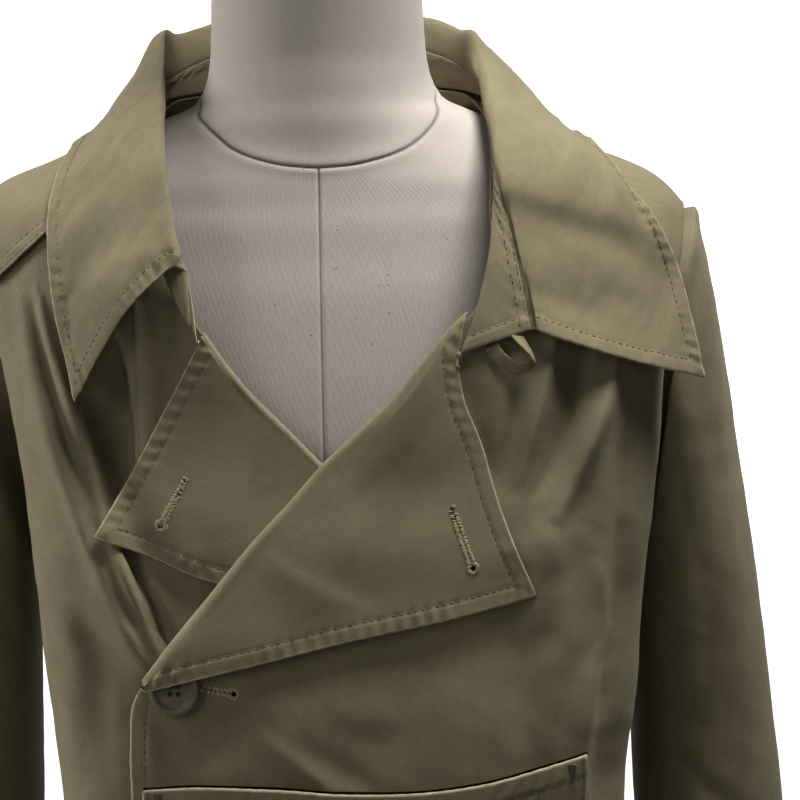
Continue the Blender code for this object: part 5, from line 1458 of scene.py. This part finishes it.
for side, table, tip, lag, stand_on, lines, name, seed, flat, cut, hole in (
    (1, LEFT_LAPEL, LAPEL_TIPS[0], LAPEL_LAGS[0], on_left, LEFT_LAPEL_CREASES, "lapel_left", 91,
     (0.17, 0.29), 0.0175, ((68, 1164), (79, 1131))),
    (-1, RIGHT_LAPEL, LAPEL_TIPS[1], LAPEL_LAGS[1], on_right, RIGHT_LAPEL_CREASES, "lapel_right", 95,
     (0.13, 0.20), 0.0132, ((-74, 1182), (-89, 1156))),
):
    smooth = lapel_fine(table, tip, stand_on, lag)
    gap, along = gap_to(smooth, np.concatenate([smooth[0, 8:], smooth[1:, -1]]))
    x, z = smooth[..., 0], smooth[..., 2]
    open_cloth = ease((np.arange(smooth.shape[1]) - len(ROLL_TURNS) + 2) / 6)[None, :]
    pucker = 0.35 + 0.5 * ease((1128 - z) / 12) if side > 0 else 0.7
    off = (creases(x, z, lines) + 1.0 * rumple(x, z, seed, 28.0) + 0.35) * open_cloth * ease(gap / 14 + 0.4)
    off += hemmed(gap, along, seed + 1, STITCH_INSET, plump=0.25, pucker=pucker, pitch=8.5) * open_cloth
    fine = raised(smooth, side, off)
    shift = (1500 + 400 * side, 2300)
    lapel = cloth_piece(name + "_turned", fine, side, LAPEL_WALL, [name], gap, shift=shift)
    tree = tree_of(fine[:, len(ROLL_TURNS) :])
    row = laid_on(tree, inset_path(np.concatenate([fine[0, 8:], fine[1:, -1]]), STITCH_INSET))
    laid_thread(name + "_stitches", [row], seed + 2, lapel)
    keyhole(name, tree, *hole, lapel, seed + 3, worn_thread)


# --- Patch pocket --------------------------------------------------------------------------
# One wide patch of drill sewn on the left front by its sides and foot. Its mouth is turned in and
# stitched, and stands a little open, with a near-black strip of painted shadow laid on the front along it; a
# bar of close stitches holds each end.

# Its mouth's height across its width, and how far the mouth stands off the front.
# Columns: x, top, stand_off.
POCKET = [
    (-101, 1016, 1.2), (-70, 1018, 1.6), (-32, 1017, 2.4), (5, 1014, 2.6), (42, 1013, 2.4),
    (78, 1016, 2.2), (108, 1021, 1.8), (138, 1027, 1.6),
]
POCKET_BOTTOM = 812.0      # height of its foot
POCKET_CLEAR = 1.6         # how far its foot lies off the front, over its own wall
POCKET_WALL = 1.6          # thickness of its ply
MOUTH_ROW = 11.0           # the mouth's stitch row, from its edge
SIDE_ROWS = (2.6, 8.6)     # the sides' two rows, the outer one also along the foot
MOUTH_BELOW = 1032.0       # creases of the front that end below this height run on over the patch

x_rows, top_z, stand_off = rows_of(POCKET).T
length = x_rows[-1] - x_rows[0]
x = x_rows[0] + places(length, near=1.4, far=2.4, rate=0.1, keep=(10, 10))
mouth = smooth_read(x_rows, top_z, x)
off = smooth_read(x_rows, stand_off, x)
deep = mouth.mean() - POCKET_BOTTOM
rows = []
for share in places(deep, near=1.3, far=4.0, rate=0.06, keep=(18, None)) / deep:
    lift = POCKET_WALL + POCKET_CLEAR + off * (1 - ease(share / 0.5))
    rows.append(on_left(x, mouth + (POCKET_BOTTOM - mouth) * share, lift))
grid = np.array(rows)
px, pz = grid[..., 0], grid[..., 2]
from_mouth, from_foot = walked(grid, 0), walked(grid, 0, back=True)
from_sides = np.minimum(walked(grid, 1), walked(grid, 1, back=True))
shown = [line for line in LEFT_CREASES if line[5] < MOUTH_BELOW]
relief = creases(px, pz, shown) * ease(from_mouth / 30) + 0.7 * rumple(px, pz, 101, 26.0)
relief += hemmed(from_mouth, px + 200, 103, MOUTH_ROW, plump=0.4, pucker=0.7, pitch=8.0)
relief += hemmed(np.minimum(from_sides, from_foot), pz, 105, 3.0, plump=0.3, pucker=0.4, pitch=11.0)
grid = raised(grid, 1, relief)
# How far each point lies from the mouth and sides, where the finish pales the edges with wear and a painted
# highlight.
pale_edge_gap = np.minimum(from_mouth, from_sides)
pocket = cloth_piece("pocket_patch", grid, 1, POCKET_WALL, ["pocket"], pale_edge_gap, shift=(60, 2800))
out = normals(grid)
rows = [beside(grid, out, "top", MOUTH_ROW)]
rows += [beside(grid, out, edge, SIDE_ROWS[0]) for edge in ("first", "last")]
rows += [part_of(beside(grid, out, edge, SIDE_ROWS[1]), MOUTH_ROW, -3) for edge in ("first", "last")]
rows.append(beside(grid, out, "foot", SIDE_ROWS[0]))
bars = []
for column in (6, -7):
    centre = np.concatenate([grid[4, column] + 0.3 * out[4, column], out[4, column]])
    for k in range(14):
        ends = np.zeros((2, 6))
        ends[:, 0], ends[:, 2] = (-2.6, 2.6), 0.55 * (k - 7)
        bars.append(centre + ends)
laid_thread("pocket_stitches", rows, 107, pocket)
# Painted shadow: a near-black strip laid on the front along the pocket's mouth, standing in for the shaded
# inside of the open mouth.
front = tree_of(left_fine)
shadow_lines = [laid_on(front, [(p[0], p[2] + up) for p in grid[0]]) for up in (1.0, -1.5)]
lifted = [line[:, :3] + line[:, 3:] * 0.35 for line in shadow_lines]
count = len(lifted[0])
shadow_strip = [(k, k + 1, count + k + 1, count + k) for k in range(count - 1)]
made = piece("pocket_mouth_painted_shadow", np.concatenate(lifted), shadow_strip, painted_slit_shade, "cotton_drill")
made.parent = pocket
laid_thread("pocket_bars", bars, 108, pocket, pitch=4.9, long=5.0, thick=0.6, sunk=0.0)

# --- Throat loop ---------------------------------------------------------------------------
# A short length of narrow woven tape, folded to a V, with both ends caught under the left end of
# the collar's stand. It is stiff for its size and stands a little off the front.

LOOP_WIDTH = 7.0           # width of its tape
LOOP_WALL = 1.1            # and its thickness
# The tape's middle line, and the way across it at each place.
# Columns: x, z, stand_off, across_x, across_z, across_y.
LOOP = [
    (92.5, 1248, 2.4, 6.0, 2.4, 0.0), (95.5, 1243, 2.9, 5.9, 2.8, -0.6), (100, 1239, 4.0, 5.0, 4.0, -1.6),
    (105.5, 1235.5, 6.0, 3.0, 5.2, -2.4), (111.5, 1236.5, 7.6, 0.6, 5.4, -3.4),
    (114.6, 1240.4, 9.4, -2.0, 4.4, -3.6), (112.4, 1245.4, 9.8, -3.6, 2.6, -3.0),
    (109, 1250, 8.6, -4.4, 1.6, -2.0), (106.4, 1253.6, 7.2, -4.8, 1.2, -1.0),
]
rows = []
for x, z, off, across_x, across_z, across_y in LOOP:
    centre = on_left(x, z, off)
    half = unit(np.array([across_x, across_y, across_z])) * LOOP_WIDTH / 2
    rows.append([centre + half * share for share in (-1, -0.5, 0, 0.5, 1)])
tape = np.array(rows)
along, across = places(mean_length(tape, 0), 0.7), np.linspace(0, mean_length(tape, 1), 13)
tape = refined(refined(tape, 0, along), 1, across)
# Far from every edge, so the tape gets no paled edge, neither wear nor painted highlight.
no_pale_edges = np.full(tape.shape[:2], 6.0)
loop = cloth_piece("throat_loop_tape", tape, 1, LOOP_WALL, ["throat_loop"], no_pale_edges, shift=(900, 2900))

# --- Button --------------------------------------------------------------------------------
# One 28 mm four-hole button of mottled cast polyester with a raised rim and a dished middle. It
# lies on the left front, half under the turned lapel; the buttonhole beside it is worked and cut.

BUTTON_X = -82.6           # its place on the front
BUTTON_Z = 1070.0
BUTTON_RADIUS = 14.0
BUTTON_THICK = 3.6
BUTTON_HOLE_PITCH = 4.4    # from one hole to the next
BUTTON_HOLE_RADIUS = 1.5
BUTTON_CLEAR = 1.2         # how far the button lies off the cloth
r, t = BUTTON_RADIUS, BUTTON_THICK
BUTTON_PROFILE = [
    (r - 1.8, 0), (r - 0.8, 0.3), (r - 0.2, 1.0), (r, 1.7), (r - 0.05, t - 1.2), (r - 0.4, t - 0.5),
    (r - 1.0, t - 0.12), (r - 1.8, t), (r - 2.6, t - 0.12), (r - 3.2, t - 0.5), (r - 3.7, t - 1.0),
    (r - 4.4, t - 1.4), (r - 5.6, t - 1.55), (2.0, t - 1.7),
]

# Cast polyester with a horn-like mottle: hard, half glossy, grey-olive, darker in its cloud.
resin, tree, shader = finish_of("cast_polyester_horn", Roughness=0.5)
place = node(tree, "TexCoord").outputs["Object"]
cloudy = node(tree, "TexNoise", {"Vector": place}, {"Scale": 260.0, "Detail": 4.0, "Roughness": 0.65})
span = {"From Min": 0.36, "From Max": 0.64}
shade = node(tree, "MapRange", {"Value": cloudy.outputs["Fac"]}, span).outputs[0]
olives = {MIX_FROM: linear("#4b4837"), MIX_TO: linear("#605d4a")}
tone = node(tree, "Mix", {MIX_SHARE: shade}, olives, data_type="RGBA").outputs[MIX_OUT]
tree.links.new(tone, shader.inputs["Base Color"])
scuffs = node(tree, "TexNoise", {"Vector": place}, {"Scale": 900.0, "Detail": 2.0}).outputs["Fac"]
span = {"From Min": 0.3, "From Max": 0.7, "To Min": 0.42, "To Max": 0.6}
gloss = node(tree, "MapRange", {"Value": scuffs}, span)
tree.links.new(gloss.outputs[0], shader.inputs["Roughness"])

seat = on_left(BUTTON_X, BUTTON_Z, BUTTON_CLEAR)
sideways = unit(on_left(BUTTON_X + 12, BUTTON_Z, 0) - on_left(BUTTON_X - 12, BUTTON_Z, 0))
upward = on_left(BUTTON_X, BUTTON_Z + 12, 0) - on_left(BUTTON_X, BUTTON_Z - 12, 0)
outward = unit(np.cross(sideways, upward))
upward = np.cross(outward, sideways)
turn_to = np.stack([sideways, upward, outward], -1)
points, quads = turned(BUTTON_PROFILE, 72)
button = piece("button_body", np.array(points) @ turn_to.T + seat, quads, resin, "cast_resin", ["button"])
reach = BUTTON_HOLE_PITCH / math.sqrt(2)
holes = [(reach * math.cos(a), reach * math.sin(a)) for a in np.radians([45, 135, 225, 315])]
drills = []
for hx, hy in holes:
    points, quads = turned([(BUTTON_HOLE_RADIUS, -1), (BUTTON_HOLE_RADIUS, t + 1)], 20)
    points = (np.array(points) + [hx, hy, 0]) @ turn_to.T + seat
    mesh = bpy.data.meshes.new("drill")
    mesh.from_pydata((points * MM).tolist(), [], quads)
    faced_out(mesh)
    drills.append(bpy.data.objects.new("drill", mesh))
    bpy.context.scene.collection.objects.link(drills[-1])
    hole = button.modifiers.new("hole", "BOOLEAN")
    hole.operation = "DIFFERENCE"
    hole.object = drills[-1]
bpy.context.view_layer.update()
bored = bpy.data.meshes.new_from_object(button.evaluated_get(bpy.context.evaluated_depsgraph_get()))
button.modifiers.clear()
button.data = bored
for drill in drills:
    bpy.data.objects.remove(drill)
bored.set_sharp_from_angle(angle=math.radians(40))
keyhole("front_left", front, (-70, 1071), (-51, 1067.5), front_left, 113, worn_thread)


# --- Studio --------------------------------------------------------------------------------
# A pale floor that glows brighter far behind the coat, with painted light, and runs into a white wall,
# a soft light high on the right, one at the left side, one front left and a weak fill, so the shoulders
# and collar are bright and the upright front falls off below them.

white = linear("#ffffff")
wall_finish = finish_of(
    "studio_wall", Roughness=1.0, Base_Color=white, Emission_Color=white, Emission_Strength=1.0
)[0]
# The floor is matt and pale; from 2 to 4.2 m behind the coat it glows by itself, rising to white: painted
# light where no lamp is.
floor_finish, tree, shader = finish_of(
    "studio_floor", Roughness=0.9, Base_Color=linear("#e6e6e4"), Emission_Color=white
)
behind_coat = node(tree, "SeparateXYZ", {"Vector": node(tree, "TexCoord").outputs["Object"]}).outputs["Y"]
floor_glow = node(tree, "MapRange", {"Value": behind_coat}, {"From Min": 2.0, "From Max": 4.2})
tree.links.new(floor_glow.outputs[0], shader.inputs["Emission Strength"])


def plane(name, corners, material):
    """A stage plane from its corners in millimetres."""
    mesh = bpy.data.meshes.new(name)
    mesh.from_pydata((np.array(corners, float) * MM).tolist(), [], [(0, 1, 2, 3)])
    mesh.materials.append(material)
    made = bpy.data.objects.new(name, mesh)
    bpy.context.scene.collection.objects.link(made)
    made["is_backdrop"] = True


def soft_light(name, place_mm, aim_mm, size, power, spread):
    """A large square light aimed at a point."""
    lamp = bpy.data.lights.new(name, "AREA")
    lamp.shape = "RECTANGLE"
    lamp.size, lamp.size_y, lamp.energy = *size, power
    lamp.spread = math.radians(spread)
    made = bpy.data.objects.new(name, lamp)
    made.location = [c * MM for c in place_mm]
    aim = Vector([a - b for a, b in zip(aim_mm, place_mm)])
    made.rotation_euler = aim.to_track_quat("-Z", "Y").to_euler()
    bpy.context.scene.collection.objects.link(made)


STAGE_SIDE, STAGE_BACK, STAGE_TALL = 7000, 9000, 6000
left, right, near, far = -STAGE_SIDE, STAGE_SIDE, -STAGE_BACK, STAGE_BACK
plane("floor", [(left, near, 0), (right, near, 0), (right, far, 0), (left, far, 0)], floor_finish)
top = STAGE_TALL
plane("wall", [(left, far, -10), (right, far, -10), (right, far, top), (left, far, top)], wall_finish)
CHEST = (0, -40, 1250)     # the point that most lights are aimed at
soft_light("key", (450, -100, 2450), (-40, -150, 1240), (0.6, 0.6), power=6.0, spread=62)
soft_light("side_left", (-1900, 250, 1900), CHEST, (0.7, 1.2), power=15.0, spread=110)
soft_light("front_left", (-1500, -1300, 1900), CHEST, (0.7, 1.2), power=3.4, spread=110)
soft_light("fill", (0, -2600, 1700), CHEST, (1.6, 1.6), power=1.9, spread=110)
world = bpy.data.worlds.new("studio_air")
world.use_nodes = True
air = world.node_tree.nodes["Background"]
air.inputs["Color"].default_value, air.inputs["Strength"].default_value = white, 0.02
bpy.context.scene.world = world
bpy.context.scene.view_settings.view_transform = "Standard"

# The camera looks level with the chest from 1.8 m, 6 degrees down and rolled 1.4 degrees.
CAMERA_AIM = Vector((0.042, -0.13, 1.2210169))
CAMERA_FAR = 1.80
CAMERA_DOWN = math.radians(6.0)
CAMERA_ROLL = math.radians(1.4)
ahead = Vector((0, math.cos(CAMERA_DOWN), -math.sin(CAMERA_DOWN)))
right = Vector((1, 0, 0))
up = right.cross(ahead)
rolled_right = right * math.cos(CAMERA_ROLL) - up * math.sin(CAMERA_ROLL)
rolled_up = up * math.cos(CAMERA_ROLL) + right * math.sin(CAMERA_ROLL)
lens = bpy.data.cameras.new("camera")
lens.lens, lens.sensor_width = 150, 36
camera = bpy.data.objects.new("camera", lens)
camera.matrix_world = Matrix((rolled_right, rolled_up, -ahead)).transposed().to_4x4()
camera.location = CAMERA_AIM - ahead * CAMERA_FAR
bpy.context.scene.collection.objects.link(camera)
bpy.context.scene.camera = camera

low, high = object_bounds()
{"cad": [list(cad_low), list(cad_high)], "looks": [list(low), list(high)]}
